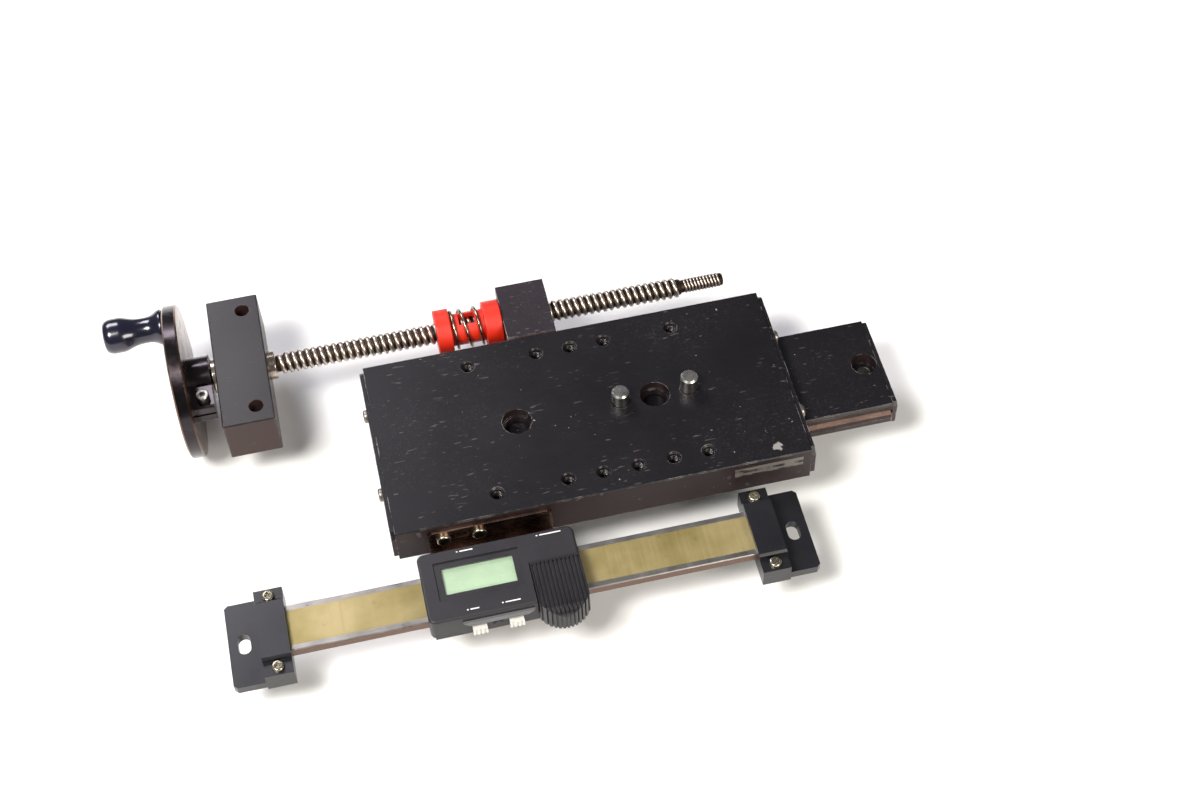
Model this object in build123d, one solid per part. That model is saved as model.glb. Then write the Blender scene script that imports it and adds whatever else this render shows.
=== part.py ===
from build123d import *
import os

# Lead-screw slide with a handwheel and a digital scale, in millimetres.
# +X is the direction of travel, away from the handwheel; +Y is towards the lead screw; +Z is up.
# The origin is the centre of the slide base's underside, which bolts to a mounting plate.

# ---- slide ----
slide_length = 152.4        # overall, with both end plates, for base and carriage alike
end_plate_thickness = 1.6
base_width = 39.8
base_height = 11.2
carriage_width = 74.6
deck_thickness = 6.4
carriage_bottom = 2.5
deck_gap = 0.5              # between the base's top and the carriage's deck
rest_offset = -36.25        # the carriage's centre from the base's centre, as it stands
edge_chamfer = 0.4
past = 1.0                  # how far a cut runs past the face that it opens
hole_bottom_gap = 0.5       # left under a screw's end in its hole
small_chamfer = 0.3

# ---- crossed rollers ----
roller_diameter = 3.0
roller_length = 2.8
roller_clearance = 0.04
roller_count = 18
roller_pitch = 5.2
roller_tilt = 45
rail_depth = 5.0
rail_height = 7.0
rail_gap = 1.4              # between the faces of the two rails
rail_middle_z = 6.1
cage_thickness = 0.6
cage_height = 6.0
cage_window_clearance = 0.1
rail_screw_places = (-36.0, 0.0, 36.0)
rail_screw_head_radius = 1.9
rail_screw_head_height = 1.6
rail_screw_radius = 1.25
rail_screw_reach = 5.0
rail_screw_web = 1.2

# ---- holes in the base and the carriage ----
base_hole_radius = 2.65
base_counterbore_radius = 4.6
base_counterbore_depth = 5.4
base_end_hole_inset = 6.7
base_middle_hole_x = 25.4
hole_grid = 12.7
grid_shift = 1.15           # the grid's middle from the carriage's middle
row_spacing = 57.15
back_row = (-3, -1, 0, 1, 3)
front_row = (-3, -1, 0, 1, 2, 3)
tapped_radius = 2.1
tapped_depth = 6.0
tapped_chamfer = 0.55
access_steps = (-2, 2)
access_radius = 5.4
access_ledge_radius = 4.7
access_ledge_depth = 3.5
pin_radius = 3.175
pin_steps = (1, 3)
pin_heights = (6.0, 7.0)
pin_depth = 5.9
pin_shank_radius = 3.0      # inside the deck
pin_rim_gap = 0.2           # round the pin where it leaves the deck, so that a plate lies flat
pin_chamfer = 0.6
fixed_clearance = 0.02      # round pieces that stay put in their holes

# ---- end plates ----
plate_drop = 0.8            # plate tops below the faces that they cover
base_plate_drop = 0.4
plate_corner = 2.5
base_plate_corner = 1.25
plate_opening_gap = 0.7     # carriage plates around the base
plate_screw_y = 17.5
plate_screw_drop = 3.3
plate_screw_radius = 1.25
plate_screw_reach = 8.0
plate_head_radius = 2.4
plate_head_height = 1.4
plate_head_fillet = 0.84
base_plate_screw_y = 10.0

# ---- lead screw, bearings and nut ----
screw_stand_off = 14.2      # the screw's axis from the carriage's back face
screw_z = 12.0
thread_radius = 3.97
journal_radius = 3.0
running_clearance = 0.05
thread_clearance = 0.08
thread_end = 12.8
end_journal_radius = 2.75
end_journal_length = 16.4
end_journal_chamfer = 0.5
block_right = -144.8
block_length_x = 19.05
block_length_y = 59.5
block_height = 19.05
block_bolt_radius = 2.7
block_bolt_inset = 6.1
block_bolt_spacing = 45.5
bearing_radius = 4.75
bearing_length = 7.0
wheel_flange_radius = 6.4
wheel_flange_thickness = 1.6
nut_flange_radius = 5.3
nut_flange_thickness = 3.0
flange_fillet = 0.5
nut_block_offset = -20.25   # the nut block's left face from the carriage's centre
nut_block_length = 18.2
nut_block_reach = 11.5      # beyond the screw's axis
nut_block_rise = 0.5        # above the carriage's top
nut_radius = 8.5
nut_collar_length = 6.5
nut_gap = 0.3
nut_fillet = 0.5
barrel_radius = 6.0
barrel_length = 12.6
takeup_length = 5.7
spigot_radius = 6.0
spigot_length = 10.0
spring_wire = 1.1
spring_radius = 7.1
spring_turns = 3
spring_end_gap = 0.05
barrel_window_length = 6.0
barrel_window_width = 5.0
nut_screw_radius = 1.25
nut_screw_head_radius = 2.2
nut_screw_head_height = 2.4
nut_screw_z = 4.1
nut_screw_inset = 3.4
nut_screw_grip = 8.0

# ---- handwheel and knob ----
wheel_radius = 28.6
wheel_thickness = 5.2
wheel_chamfer = 0.6
hub_radius = 8.2
hub_length = 7.4
hub_gap = 0.4
hub_ear_reach = 17.0
hub_ear_half_height = 4.2
hub_ear_corner = 1.0
hub_slit = 1.0
hub_screw_radius = 1.4
hub_screw_head_radius = 2.4
hub_screw_head_height = 2.6
hub_screw_reach = 10.4
hub_screw_hex_radius = 1.2
hub_screw_hex_depth = 1.3
knob_y = 15.1               # from the wheel's axis
knob_z = 15.1
knob_length = 22.0
knob_gap = 0.3
knob_end_radius = 6.5
knob_neck_radius = 4.7
knob_foot_radius = 6.7
knob_foot_round = 0.6
knob_foot_length = 2.2
knob_neck_place = 7.6       # from the foot
knob_shoulder_place = 9.0   # from the end, as the next
knob_full_place = 4.4
knob_end_round = 1.0
knob_shoulder_drop = 0.5    # under the end's full radius, as the next
knob_end_drop = 0.9
knob_rim = 0.7              # around the recess
axle_radius = 2.2
axle_stud_radius = 1.9
axle_head_radius = 3.2
axle_head_height = 1.4
axle_head_gap = 0.1
knob_recess_radius = 3.7
knob_recess_depth = 2.4

# ---- digital scale ----
scale_middle_x = -71.0
scale_length = 204.6        # over both end brackets
beam_width = 18.0
beam_thickness = 3.5
beam_bottom = 4.5
beam_chamfer = 0.3
strip_width = 13.7
strip_thickness = 0.3
bracket_plate_length = 11.0
bracket_plate_height = 3.5
bracket_step = 0.7          # the plate's sides inside the clamp's
bracket_corner = 1.2
slot_width = 4.4
slot_length = 7.7
slot_inset = 5.4
clamp_length = 10.0
clamp_edge = 0.95           # outside the screw heads
clamp_head_gap = 0.25       # between the screw heads and the bridge
clamp_bridge = 2.3          # the bridge's height over the beam
clamp_shoulder = 2.5        # the bridge's width beyond the beam, each side
clamp_chamfer = 0.8
clamp_screw_radius = 1.4
clamp_screw_head_radius = 2.15
clamp_screw_head_height = 1.3
clamp_screw_reach = 7.0
clamp_screw_fillet = 0.7
recess_length = 2.4
recess_width = 0.55
recess_depth = 0.6
recess_turn = 20
beam_play = 0.3             # reading head around the beam

# ---- reading head ----
head_offset = -69.05        # the head's left end from the carriage's centre
head_stand_off = 8.3        # the head's back from the carriage's front face
head_margin_back = 4.4      # the case beyond the beam
head_margin_front = 5.4
head_length = 54.9
head_clearance = 0.6        # between the beam and the board
head_skirt_depth = 3.2      # the case's lower edge under the board
head_floor_thickness = 2.2
head_wall = 1.4
head_roof = 1.6
head_fit = 0.1
case_corner = 2.5
case_edge = 0.8
window_inset = 19.9         # its middle from the head's left end
window_shift = 1.2          # its middle from the beam's, towards the back
window_length = 24.8
window_width = 10.7
window_fit = 0.05
window_thickness = 0.9
window_sink = 0.1
bezel_margin_x = 2.4
bezel_margin_y = 2.2
bezel_depth = 0.5
board_thickness = 1.2
board_gap = 0.5
panel_thickness = 2.4
panel_margin = 0.6
connector_width = 1.6
cell_radius = 5.8
cell_height = 5.2
cell_fillet = 0.4
cell_inset = 46.0           # from the head's left end
cell_shift = -6.4           # from the beam's middle
contact_thickness = 0.2
contact_half_width = 4.0
contact_arc_height = 3.0
contact_arc_half_width = 3.0
cover_length = 17.4
cover_back_shift = 1.2      # from the beam's middle
cover_rise = 0.6            # above the case
cover_roof = 0.85           # over the cell
cover_step = 0.5            # its wings' underside from the board's
cover_bulge = 6.4           # the cover's reach in front of the case
cover_straight = 1.0
cover_play = 0.3
cover_front_radius = 4.0
rib_count = 12
rib_groove_width = 0.55
rib_groove_depth = 0.5
rib_margin = 0.8
front_button_insets = (16.7, 29.4)
back_button_insets = (17.7, 47.3)
button_half_width = 2.5
button_drop = 2.4           # the button's underside from the board's
button_height = 2.9
button_reach = 2.2
back_button_reach = 1.2
button_flange = 0.7
button_flange_thickness = 0.5
button_travel = 0.5
button_play = 0.15
button_groove_pitch = 1.5
button_groove_width = 0.5
button_groove_depth = 0.3
port_inset = 23.1
port_drop = 0.9             # its axis under the board
port_radius = 1.7
port_reach = 0.5
ledge_insets = (11.3, 36.1)
ledge_rises = (2.0, 4.2)    # its edges above the board's underside
ledge_reach = 0.9
head_bracket_insets = (5.3, 49.3)
head_bracket_thickness = 1.6
head_bracket_drop = 1.8     # its top under the carriage's
head_bracket_corner = 1.5
head_bracket_foot = 24.0
bracket_screw_insets = (10.8, 23.3)
bracket_screw_drop = 5.6    # under the carriage's top
bracket_screw_radius = 1.5
bracket_screw_head_radius = 2.7
bracket_screw_head_height = 1.7
bracket_screw_fillet = 0.9
bracket_screw_reach = 6.0
bracket_slot_length = 5.0
bracket_slot_height = 2.2
foot_screw_insets = (11.3, 43.3)
foot_screw_shift = 5.0      # from the beam's middle
foot_screw_radius = 1.2
foot_screw_height = 2.6
foot_screw_gap = 0.2

# ---- worked out from the sizes above ----
half_length = slide_length / 2
body_half_length = half_length - end_plate_thickness
half_base = base_width / 2
half_carriage = carriage_width / 2
deck_under = base_height + deck_gap
carriage_top = deck_under + deck_thickness
roller_y = half_base + rail_gap / 2
channel_side = roller_diameter + 2 * roller_clearance
rail_low = rail_middle_z - rail_height / 2
rail_high = rail_middle_z + rail_height / 2
carriage_rail_face = half_base + rail_gap
tunnel_half_width = carriage_rail_face + rail_depth
cage_x = rest_offset / 2
cage_half_length = roller_count * roller_pitch / 2
screw_y = half_carriage + screw_stand_off
block_left = block_right - block_length_x
bearing_face_nut = block_right + nut_flange_thickness
bearing_face_wheel = block_left - wheel_flange_thickness
hub_right = bearing_face_wheel - hub_gap
wheel_right = hub_right - hub_length
wheel_left = wheel_right - wheel_thickness
nut_block_left = rest_offset + nut_block_offset
nut_collar_right = nut_block_left - nut_gap
nut_collar_left = nut_collar_right - nut_collar_length
barrel_left = nut_collar_left - barrel_length
takeup_left = barrel_left - takeup_length
nut_block_back = screw_y + nut_block_reach
nut_block_top = carriage_top + nut_block_rise
nut_bore = thread_radius + thread_clearance
half_beam = beam_width / 2
head_left = rest_offset + head_offset
head_right = head_left + head_length
head_back = -half_carriage - head_stand_off
scale_y = head_back - head_margin_back - half_beam
head_front = scale_y - half_beam - head_margin_front
beam_top = beam_bottom + beam_thickness
scale_left = scale_middle_x - scale_length / 2
clamp_left = scale_left + bracket_plate_length
clamp_bridge_half = half_beam + clamp_shoulder
clamp_screw_y = clamp_bridge_half + clamp_head_gap + clamp_screw_head_radius
clamp_half_width = clamp_screw_y + clamp_screw_head_radius + clamp_edge
tunnel_half = half_beam + beam_play
tunnel_roof = beam_top + head_clearance
head_floor = beam_bottom - beam_play - head_floor_thickness
head_skirt = tunnel_roof - head_skirt_depth
board_top = tunnel_roof + board_thickness
cell_bottom = board_top + contact_thickness
cell_roof = cell_bottom + cell_height + cover_play / 2
cover_top = cell_roof + cover_roof
cover_lower = tunnel_roof + cover_step
head_top = cover_top - cover_rise
roof_under = head_top - head_roof
window_bottom = roof_under - window_sink
panel_bottom = window_bottom - panel_thickness
window_x = head_left + window_inset
window_y = scale_y + window_shift
cell_x = head_left + cell_inset
cell_y = scale_y + cell_shift
cover_left = head_right - cover_length
cover_back = scale_y + cover_back_shift
button_bottom = tunnel_roof - button_drop
front_button_places = [head_left + inset for inset in front_button_insets]
back_button_places = [head_left + inset for inset in back_button_insets]
port_x = head_left + port_inset
port_z = tunnel_roof - port_drop
ledge_left, ledge_right = [head_left + inset for inset in ledge_insets]
ledge_bottom, ledge_top = [tunnel_roof + rise for rise in ledge_rises]
head_bracket_left, head_bracket_right = [head_left + inset for inset in head_bracket_insets]
head_bracket_top = carriage_top - head_bracket_drop
bracket_face = -half_carriage - head_bracket_thickness
bracket_foot_bottom = head_floor - head_bracket_thickness
bracket_screw_places = [head_left + inset for inset in bracket_screw_insets]
bracket_screw_z = carriage_top - bracket_screw_drop
foot_screw_places = [head_left + inset for inset in foot_screw_insets]
foot_screw_y = scale_y + foot_screw_shift


def block(x0, x1, y0, y1, z0, z1):
    """A box between two corners."""
    return Pos((x0 + x1) / 2, (y0 + y1) / 2, (z0 + z1) / 2) * Box(x1 - x0, y1 - y0, z1 - z0)


def rod_x(radius, x0, x1, y, z):
    """A cylinder along X."""
    return Pos((x0 + x1) / 2, y, z) * Rot(0, 90, 0) * Cylinder(radius, x1 - x0)


def rod_y(radius, y0, y1, x, z):
    """A cylinder along Y."""
    return Pos(x, (y0 + y1) / 2, z) * Rot(90, 0, 0) * Cylinder(radius, y1 - y0)


def rod_z(radius, z0, z1, x, y):
    """A cylinder along Z."""
    return Pos(x, y, (z0 + z1) / 2) * Cylinder(radius, z1 - z0)


def chamfered_end(shape, size, direction, axis):
    """Chamfers the edges of the face that lies furthest along an axis."""
    face = shape.faces().sort_by(axis)[direction]
    return chamfer(face.edges(), size)


def group(pieces):
    """Separate solids that share one node."""
    return Compound(children=[solid for piece in pieces for solid in piece.solids()])


def span(low, high):
    """Two numbers in rising order."""
    return (low, high) if low < high else (high, low)


# ---- slide ----

def rail_screw_seat(face_y, back_y):
    """Where a rail screw's head starts, measured from the rail's back."""
    inward = 1 if face_y > back_y else -1
    return back_y + inward * rail_screw_web, inward


def rail(face_y, back_y, middle_x):
    """A hardened bar with the rollers' V groove and counterbored holes for its screws."""
    side = 1 if face_y > 0 else -1
    y0, y1 = span(face_y, back_y)
    bar = block(middle_x - body_half_length, middle_x + body_half_length, y0, y1, rail_low, rail_high)
    groove = Pos(middle_x, side * roller_y, rail_middle_z) * Rot(roller_tilt, 0, 0)
    bar -= groove * Box(slide_length, channel_side, channel_side)
    seat, inward = rail_screw_seat(face_y, back_y)
    for place in rail_screw_places:
        x = middle_x + place
        y0, y1 = span(seat, face_y + inward * past)
        bar -= rod_y(rail_screw_head_radius + fixed_clearance, y0, y1, x, rail_middle_z)
        y0, y1 = span(back_y - inward * past, seat)
        bar -= rod_y(rail_screw_radius + fixed_clearance, y0, y1, x, rail_middle_z)
    return bar


def rail_screws(face_y, back_y, middle_x):
    """The cap screws that hold a rail."""
    seat, inward = rail_screw_seat(face_y, back_y)
    screws = []
    for place in rail_screw_places:
        x = middle_x + place
        y0, y1 = span(seat, seat + inward * rail_screw_head_height)
        head = rod_y(rail_screw_head_radius, y0, y1, x, rail_middle_z)
        y0, y1 = span(seat, back_y - inward * rail_screw_reach)
        screws.append(head + rod_y(rail_screw_radius, y0, y1, x, rail_middle_z))
    return screws


def rail_screw_holes(face_y, back_y, middle_x):
    """The tapped holes that the rail screws go into."""
    inward = 1 if face_y > back_y else -1
    y0, y1 = span(back_y, back_y - inward * (rail_screw_reach + hole_bottom_gap))
    return [
        rod_y(rail_screw_radius + fixed_clearance, y0, y1, middle_x + place, rail_middle_z)
        for place in rail_screw_places
    ]


def make_slide_base():
    """The fixed half: a bar with recesses for its rails and four counterbored bolt holes."""
    body = block(-body_half_length, body_half_length, -half_base, half_base, 0, base_height)
    body = chamfer(body.edges().filter_by(Axis.X), edge_chamfer)
    for side in (-1, 1):
        y0, y1 = span(side * (half_base - rail_depth), side * (half_base + past))
        body -= block(-half_length, half_length, y0, y1, rail_low, rail_high)
        for hole in rail_screw_holes(side * half_base, side * (half_base - rail_depth), 0):
            body -= hole
    end_hole_x = half_length - base_end_hole_inset
    for x in (-end_hole_x, -base_middle_hole_x, base_middle_hole_x, end_hole_x):
        body -= rod_z(base_hole_radius, -past, base_height + past, x, 0)
        body -= rod_z(base_counterbore_radius, base_height - base_counterbore_depth,
                      base_height + past, x, 0)
    for end in (-1, 1):
        for y in (-base_plate_screw_y, base_plate_screw_y):
            x0, x1 = span(end * body_half_length, end * (body_half_length - plate_screw_reach))
            body -= rod_x(plate_screw_radius + fixed_clearance, x0, x1, y, rail_low)
    return body


def make_base_end_plate(end):
    """A thin cover over an end of the base, with its upper corners cut."""
    x0, x1 = span(end * body_half_length, end * half_length)
    plate = block(x0, x1, -half_base, half_base, 0, base_height - base_plate_drop)
    corners = plate.edges().filter_by(Axis.X).group_by(Axis.Z)[-1]
    plate = chamfer(corners, base_plate_corner)
    for y in (-base_plate_screw_y, base_plate_screw_y):
        plate -= rod_x(plate_screw_radius + fixed_clearance, x0 - past, x1 + past, y, rail_low)
    return plate


def end_screw(end, face_x, y, z):
    """A button-head screw through an end plate."""
    x0, x1 = span(face_x, face_x + end * plate_head_height)
    head = rod_x(plate_head_radius, x0, x1, y, z)
    head = fillet(head.faces().sort_by(Axis.X)[-1 if end > 0 else 0].edges(), plate_head_fillet)
    x0, x1 = span(face_x - end * (end_plate_thickness + plate_screw_reach - hole_bottom_gap), face_x)
    return head + rod_x(plate_screw_radius, x0, x1, y, z)


def make_base_end_plate_screws():
    """Four button-head screws, two in each end plate of the base."""
    return group(
        end_screw(end, end * half_length, y, rail_low)
        for end in (-1, 1)
        for y in (-base_plate_screw_y, base_plate_screw_y)
    )


def make_carriage_block():
    """The moving half: a deck on two legs, with a tunnel for the base and its rails."""
    left, right = rest_offset - body_half_length, rest_offset + body_half_length
    body = block(left, right, -half_carriage, half_carriage, carriage_bottom, carriage_top)
    body = chamfer(body.edges().filter_by(Axis.X).group_by(Axis.Z)[-1], edge_chamfer)
    body -= block(left - past, right + past, -tunnel_half_width, tunnel_half_width, 0, deck_under)
    grid_x = rest_offset + grid_shift
    for y, row in ((row_spacing / 2, back_row), (-row_spacing / 2, front_row)):
        for step in row:
            x = grid_x + step * hole_grid
            body -= rod_z(tapped_radius, carriage_top - tapped_depth, carriage_top + past, x, y)
            rim = Pos(x, y, carriage_top - tapped_chamfer / 2)
            body -= rim * Cone(tapped_radius, tapped_radius + tapped_chamfer, tapped_chamfer)
    for step in access_steps:
        x = grid_x + step * hole_grid
        body -= rod_z(access_ledge_radius, carriage_bottom, carriage_top + past, x, 0)
        body -= rod_z(access_radius, carriage_top - access_ledge_depth, carriage_top + past, x, 0)
    for step in pin_steps:
        x = grid_x + step * hole_grid
        body -= rod_z(pin_shank_radius + fixed_clearance, deck_under - past, carriage_top + past, x, 0)
        opening = pin_radius + pin_rim_gap - pin_shank_radius
        rim = Pos(x, 0, carriage_top - opening / 2)
        body -= rim * Cone(pin_shank_radius + fixed_clearance, pin_radius + pin_rim_gap + fixed_clearance,
                           opening)
    for side in (-1, 1):
        for hole in rail_screw_holes(side * carriage_rail_face, side * tunnel_half_width, rest_offset):
            body -= hole
    for end in (-1, 1):
        for y in (-plate_screw_y, plate_screw_y):
            x0, x1 = span(rest_offset + end * body_half_length,
                          rest_offset + end * (body_half_length - plate_screw_reach))
            body -= rod_x(plate_screw_radius + fixed_clearance, x0, x1, y, carriage_top - plate_screw_drop)
    for x in bracket_screw_places:
        body -= rod_y(bracket_screw_radius + fixed_clearance, -half_carriage - past,
                      -half_carriage + bracket_screw_reach + hole_bottom_gap, x, bracket_screw_z)
    for x in nut_screw_xs():
        body -= rod_y(nut_screw_radius + fixed_clearance, half_carriage - nut_screw_grip - hole_bottom_gap,
                      half_carriage + past, x, nut_screw_z)
    return body


def make_carriage_end_plate(end):
    """A thin cover over an end of the carriage, open where the base passes."""
    x0, x1 = span(rest_offset + end * body_half_length, rest_offset + end * half_length)
    top = carriage_top - plate_drop
    plate = block(x0, x1, -half_carriage, half_carriage, carriage_bottom, top)
    plate = chamfer(plate.edges().filter_by(Axis.X), plate_corner)
    opening = half_base + plate_opening_gap
    plate -= block(x0 - past, x1 + past, -opening, opening, 0, deck_under)
    for y in (-plate_screw_y, plate_screw_y):
        plate -= rod_x(plate_screw_radius + fixed_clearance, x0 - past, x1 + past, y,
                       carriage_top - plate_screw_drop)
    return plate


def make_carriage_end_plate_screws():
    """Four button-head screws, two in each end plate of the carriage."""
    return group(
        end_screw(end, rest_offset + end * half_length, y, carriage_top - plate_screw_drop)
        for end in (-1, 1)
        for y in (-plate_screw_y, plate_screw_y)
    )


def make_dowel_pins():
    """Two locating pins with chamfered tops and thinner shanks inside the deck."""
    pins = []
    for step, height in zip(pin_steps, pin_heights):
        x = rest_offset + grid_shift + step * hole_grid
        pin = chamfered_end(rod_z(pin_radius, carriage_top, carriage_top + height, x, 0), pin_chamfer, -1,
                            Axis.Z)
        pins.append(pin + rod_z(pin_shank_radius, carriage_top - pin_depth, carriage_top, x, 0))
    return group(pins)


def roller(index, side, radius, length):
    """One roller of a cage; neighbours are crossed at right angles."""
    x = cage_x + (index - (roller_count - 1) / 2) * roller_pitch
    tilt = roller_tilt if index % 2 else -roller_tilt
    return Pos(x, side * roller_y, rail_middle_z) * Rot(tilt, 0, 0) * Cylinder(radius, length)


def make_rollers(side):
    """The crossed rollers on one side of the base."""
    return group(roller(i, side, roller_diameter / 2, roller_length) for i in range(roller_count))


def make_cage(side):
    """The thin strip that spaces the rollers, with a window for each."""
    y = side * roller_y
    strip = block(cage_x - cage_half_length, cage_x + cage_half_length, y - cage_thickness / 2,
                  y + cage_thickness / 2, rail_middle_z - cage_height / 2,
                  rail_middle_z + cage_height / 2)
    for i in range(roller_count):
        strip -= roller(i, side, roller_diameter / 2 + cage_window_clearance,
                        roller_length + 2 * cage_window_clearance)
    return strip


# ---- lead screw, bearings and nut ----

def nut_screw_xs():
    """The X places of the nut block's two screws."""
    return (nut_block_left + nut_screw_inset, nut_block_left + nut_block_length - nut_screw_inset)


def make_bearing_block():
    """The block that holds the screw's bearings, with two vertical bolt holes."""
    body = block(block_left, block_right, screw_y - block_length_y / 2, screw_y + block_length_y / 2,
                 0, block_height)
    body = chamfer(body.edges(), edge_chamfer)
    body -= rod_x(bearing_radius + fixed_clearance, block_left - past, block_right + past, screw_y, screw_z)
    for end in (-1, 1):
        body -= rod_z(block_bolt_radius, -past, block_height + past, block_right - block_bolt_inset,
                      screw_y + end * block_bolt_spacing / 2)
    return body


def make_bearing(face_x, inward, flange_radius, flange_thickness):
    """A flanged bearing, pushed into the block from one side."""
    x0, x1 = span(face_x, face_x - inward * flange_thickness)
    flange = rod_x(flange_radius, x0, x1, screw_y, screw_z)
    flange = fillet(flange.edges().filter_by(GeomType.CIRCLE).sort_by(Axis.X)[0 if inward > 0 else -1],
                    flange_fillet)
    x0, x1 = span(face_x, face_x + inward * bearing_length)
    ring = flange + rod_x(bearing_radius, x0, x1, screw_y, screw_z)
    return ring - rod_x(journal_radius + running_clearance, block_left - bearing_length,
                        block_right + bearing_length,
                        screw_y, screw_z)


def make_lead_screw():
    """The screw at its thread's outside diameter, with a journal at each end."""
    thread = rod_x(thread_radius, bearing_face_nut, thread_end, screw_y, screw_z)
    journal = rod_x(journal_radius, wheel_left, bearing_face_nut, screw_y, screw_z)
    tail = rod_x(end_journal_radius, thread_end, thread_end + end_journal_length, screw_y, screw_z)
    return thread + journal + chamfered_end(tail, end_journal_chamfer, -1, Axis.X)


def make_nut_block():
    """The block on the carriage's back that carries the nut."""
    right = nut_block_left + nut_block_length
    body = block(nut_block_left, right, half_carriage, nut_block_back, carriage_bottom, nut_block_top)
    body = chamfer(body.edges().filter_by(Axis.X), edge_chamfer)
    body -= rod_x(spigot_radius + fixed_clearance, nut_block_left - past, right + past, screw_y, screw_z)
    for x in nut_screw_xs():
        body -= rod_y(nut_screw_radius + fixed_clearance, half_carriage - past, nut_block_back + past,
                      x, nut_screw_z)
        body -= rod_y(nut_screw_head_radius + fixed_clearance, nut_block_back - nut_screw_head_height,
                      nut_block_back + past, x, nut_screw_z)
    return body


def make_nut_block_screws():
    """Two long cap screws from the nut block's back into the carriage."""
    screws = []
    for x in nut_screw_xs():
        seat = nut_block_back - nut_screw_head_height
        shank = rod_y(nut_screw_radius, half_carriage - nut_screw_grip, seat, x, nut_screw_z)
        screws.append(shank + rod_y(nut_screw_head_radius, seat, nut_block_back, x, nut_screw_z))
    return group(screws)


def make_nut_body():
    """The nut: a collar, a spigot in its block, and a split barrel under the spring."""
    nut = rod_x(nut_radius, nut_collar_left, nut_collar_right, screw_y, screw_z)
    nut = fillet(nut.edges().filter_by(GeomType.CIRCLE), nut_fillet)
    nut += rod_x(spigot_radius, nut_collar_right, nut_block_left + spigot_length, screw_y, screw_z)
    nut += rod_x(barrel_radius, barrel_left, nut_collar_left, screw_y, screw_z)
    nut -= rod_x(nut_bore, barrel_left - past, nut_block_left + spigot_length + past, screw_y, screw_z)
    middle = (barrel_left + nut_collar_left) / 2
    half, half_width = barrel_window_length / 2, barrel_window_width / 2
    nut -= block(middle - half, middle + half, screw_y - half_width, screw_y + half_width,
                 screw_z, screw_z + nut_radius)
    nut -= block(middle - half, middle + half, screw_y - half_width, screw_y + half_width,
                 screw_z - nut_radius, screw_z)
    return nut


def make_nut_takeup():
    """The collar that the spring pushes away to take up the play."""
    ring = rod_x(nut_radius, takeup_left, barrel_left, screw_y, screw_z)
    ring = fillet(ring.edges().filter_by(GeomType.CIRCLE), nut_fillet)
    return ring - rod_x(nut_bore, takeup_left - past, barrel_left + past, screw_y, screw_z)


def make_nut_spring():
    """The wire spring around the barrel, between the two collars."""
    height = barrel_length - spring_wire - 2 * spring_end_gap
    path = Helix(pitch=height / spring_turns, height=height, radius=spring_radius)
    section = Plane(origin=path @ 0, z_dir=path % 0) * Circle(spring_wire / 2)
    coil = sweep(section, path=path, is_frenet=True)
    start = barrel_left + (barrel_length - height) / 2
    return Pos(start, screw_y, screw_z) * Rot(0, 90, 0) * coil


# ---- handwheel and knob ----

def make_handwheel():
    """A solid turned disc, with holes for the screw's journal and the knob's axle."""
    disc = rod_x(wheel_radius, wheel_left, wheel_right, screw_y, screw_z)
    disc = chamfer(disc.edges().filter_by(GeomType.CIRCLE), wheel_chamfer)
    disc -= rod_x(journal_radius + fixed_clearance, wheel_left - past, wheel_right + past, screw_y, screw_z)
    disc -= rod_x(axle_stud_radius + fixed_clearance, wheel_left - past, wheel_right + past,
                  screw_y + knob_y, screw_z + knob_z)
    return disc


def hub_screw_y():
    """The Y place of the hub's clamp screw, in the middle of its ear."""
    return screw_y - (hub_radius + hub_ear_reach) / 2


def make_wheel_hub():
    """A split collar with a clamping ear."""
    ring = rod_x(hub_radius, wheel_right, hub_right, screw_y, screw_z)
    ear = block(wheel_right, hub_right, screw_y - hub_ear_reach, screw_y,
                screw_z - hub_ear_half_height, screw_z + hub_ear_half_height)
    ear = fillet(ear.edges().filter_by(Axis.X).group_by(Axis.Y)[0], hub_ear_corner)
    hub = ring + ear
    hub -= rod_x(journal_radius + fixed_clearance, wheel_right - past, hub_right + past, screw_y, screw_z)
    hub -= block(wheel_right - past, hub_right + past, screw_y - hub_ear_reach - past, screw_y,
                 screw_z - hub_slit / 2, screw_z + hub_slit / 2)
    middle = (wheel_right + hub_right) / 2
    hub -= rod_z(hub_screw_radius + fixed_clearance, screw_z - hub_radius, screw_z + hub_radius,
                 middle, hub_screw_y())
    return hub


def make_hub_clamp_screw():
    """The cap screw that closes the hub's slit."""
    middle = (wheel_right + hub_right) / 2
    seat = screw_z + hub_ear_half_height
    head = rod_z(hub_screw_head_radius, seat, seat + hub_screw_head_height, middle, hub_screw_y())
    head = chamfered_end(head, small_chamfer, -1, Axis.Z)
    head -= Pos(middle, hub_screw_y(), seat + hub_screw_head_height) * extrude(
        RegularPolygon(hub_screw_hex_radius, 6), -hub_screw_hex_depth)
    return head + rod_z(hub_screw_radius, seat - hub_screw_reach, seat, middle, hub_screw_y())


def make_knob_axle():
    """A shoulder screw: a stud in the wheel, a bearing length and a head in the knob's end."""
    y, z = screw_y + knob_y, screw_z + knob_z
    head_left = wheel_left - knob_gap - knob_length + knob_recess_depth - axle_head_height - axle_head_gap
    stud = rod_x(axle_stud_radius, wheel_left, wheel_right, y, z)
    shaft = rod_x(axle_radius, head_left + axle_head_height, wheel_left, y, z)
    head = chamfered_end(rod_x(axle_head_radius, head_left, head_left + axle_head_height, y, z),
                         small_chamfer, 0, Axis.X)
    return stud + shaft + head


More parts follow.
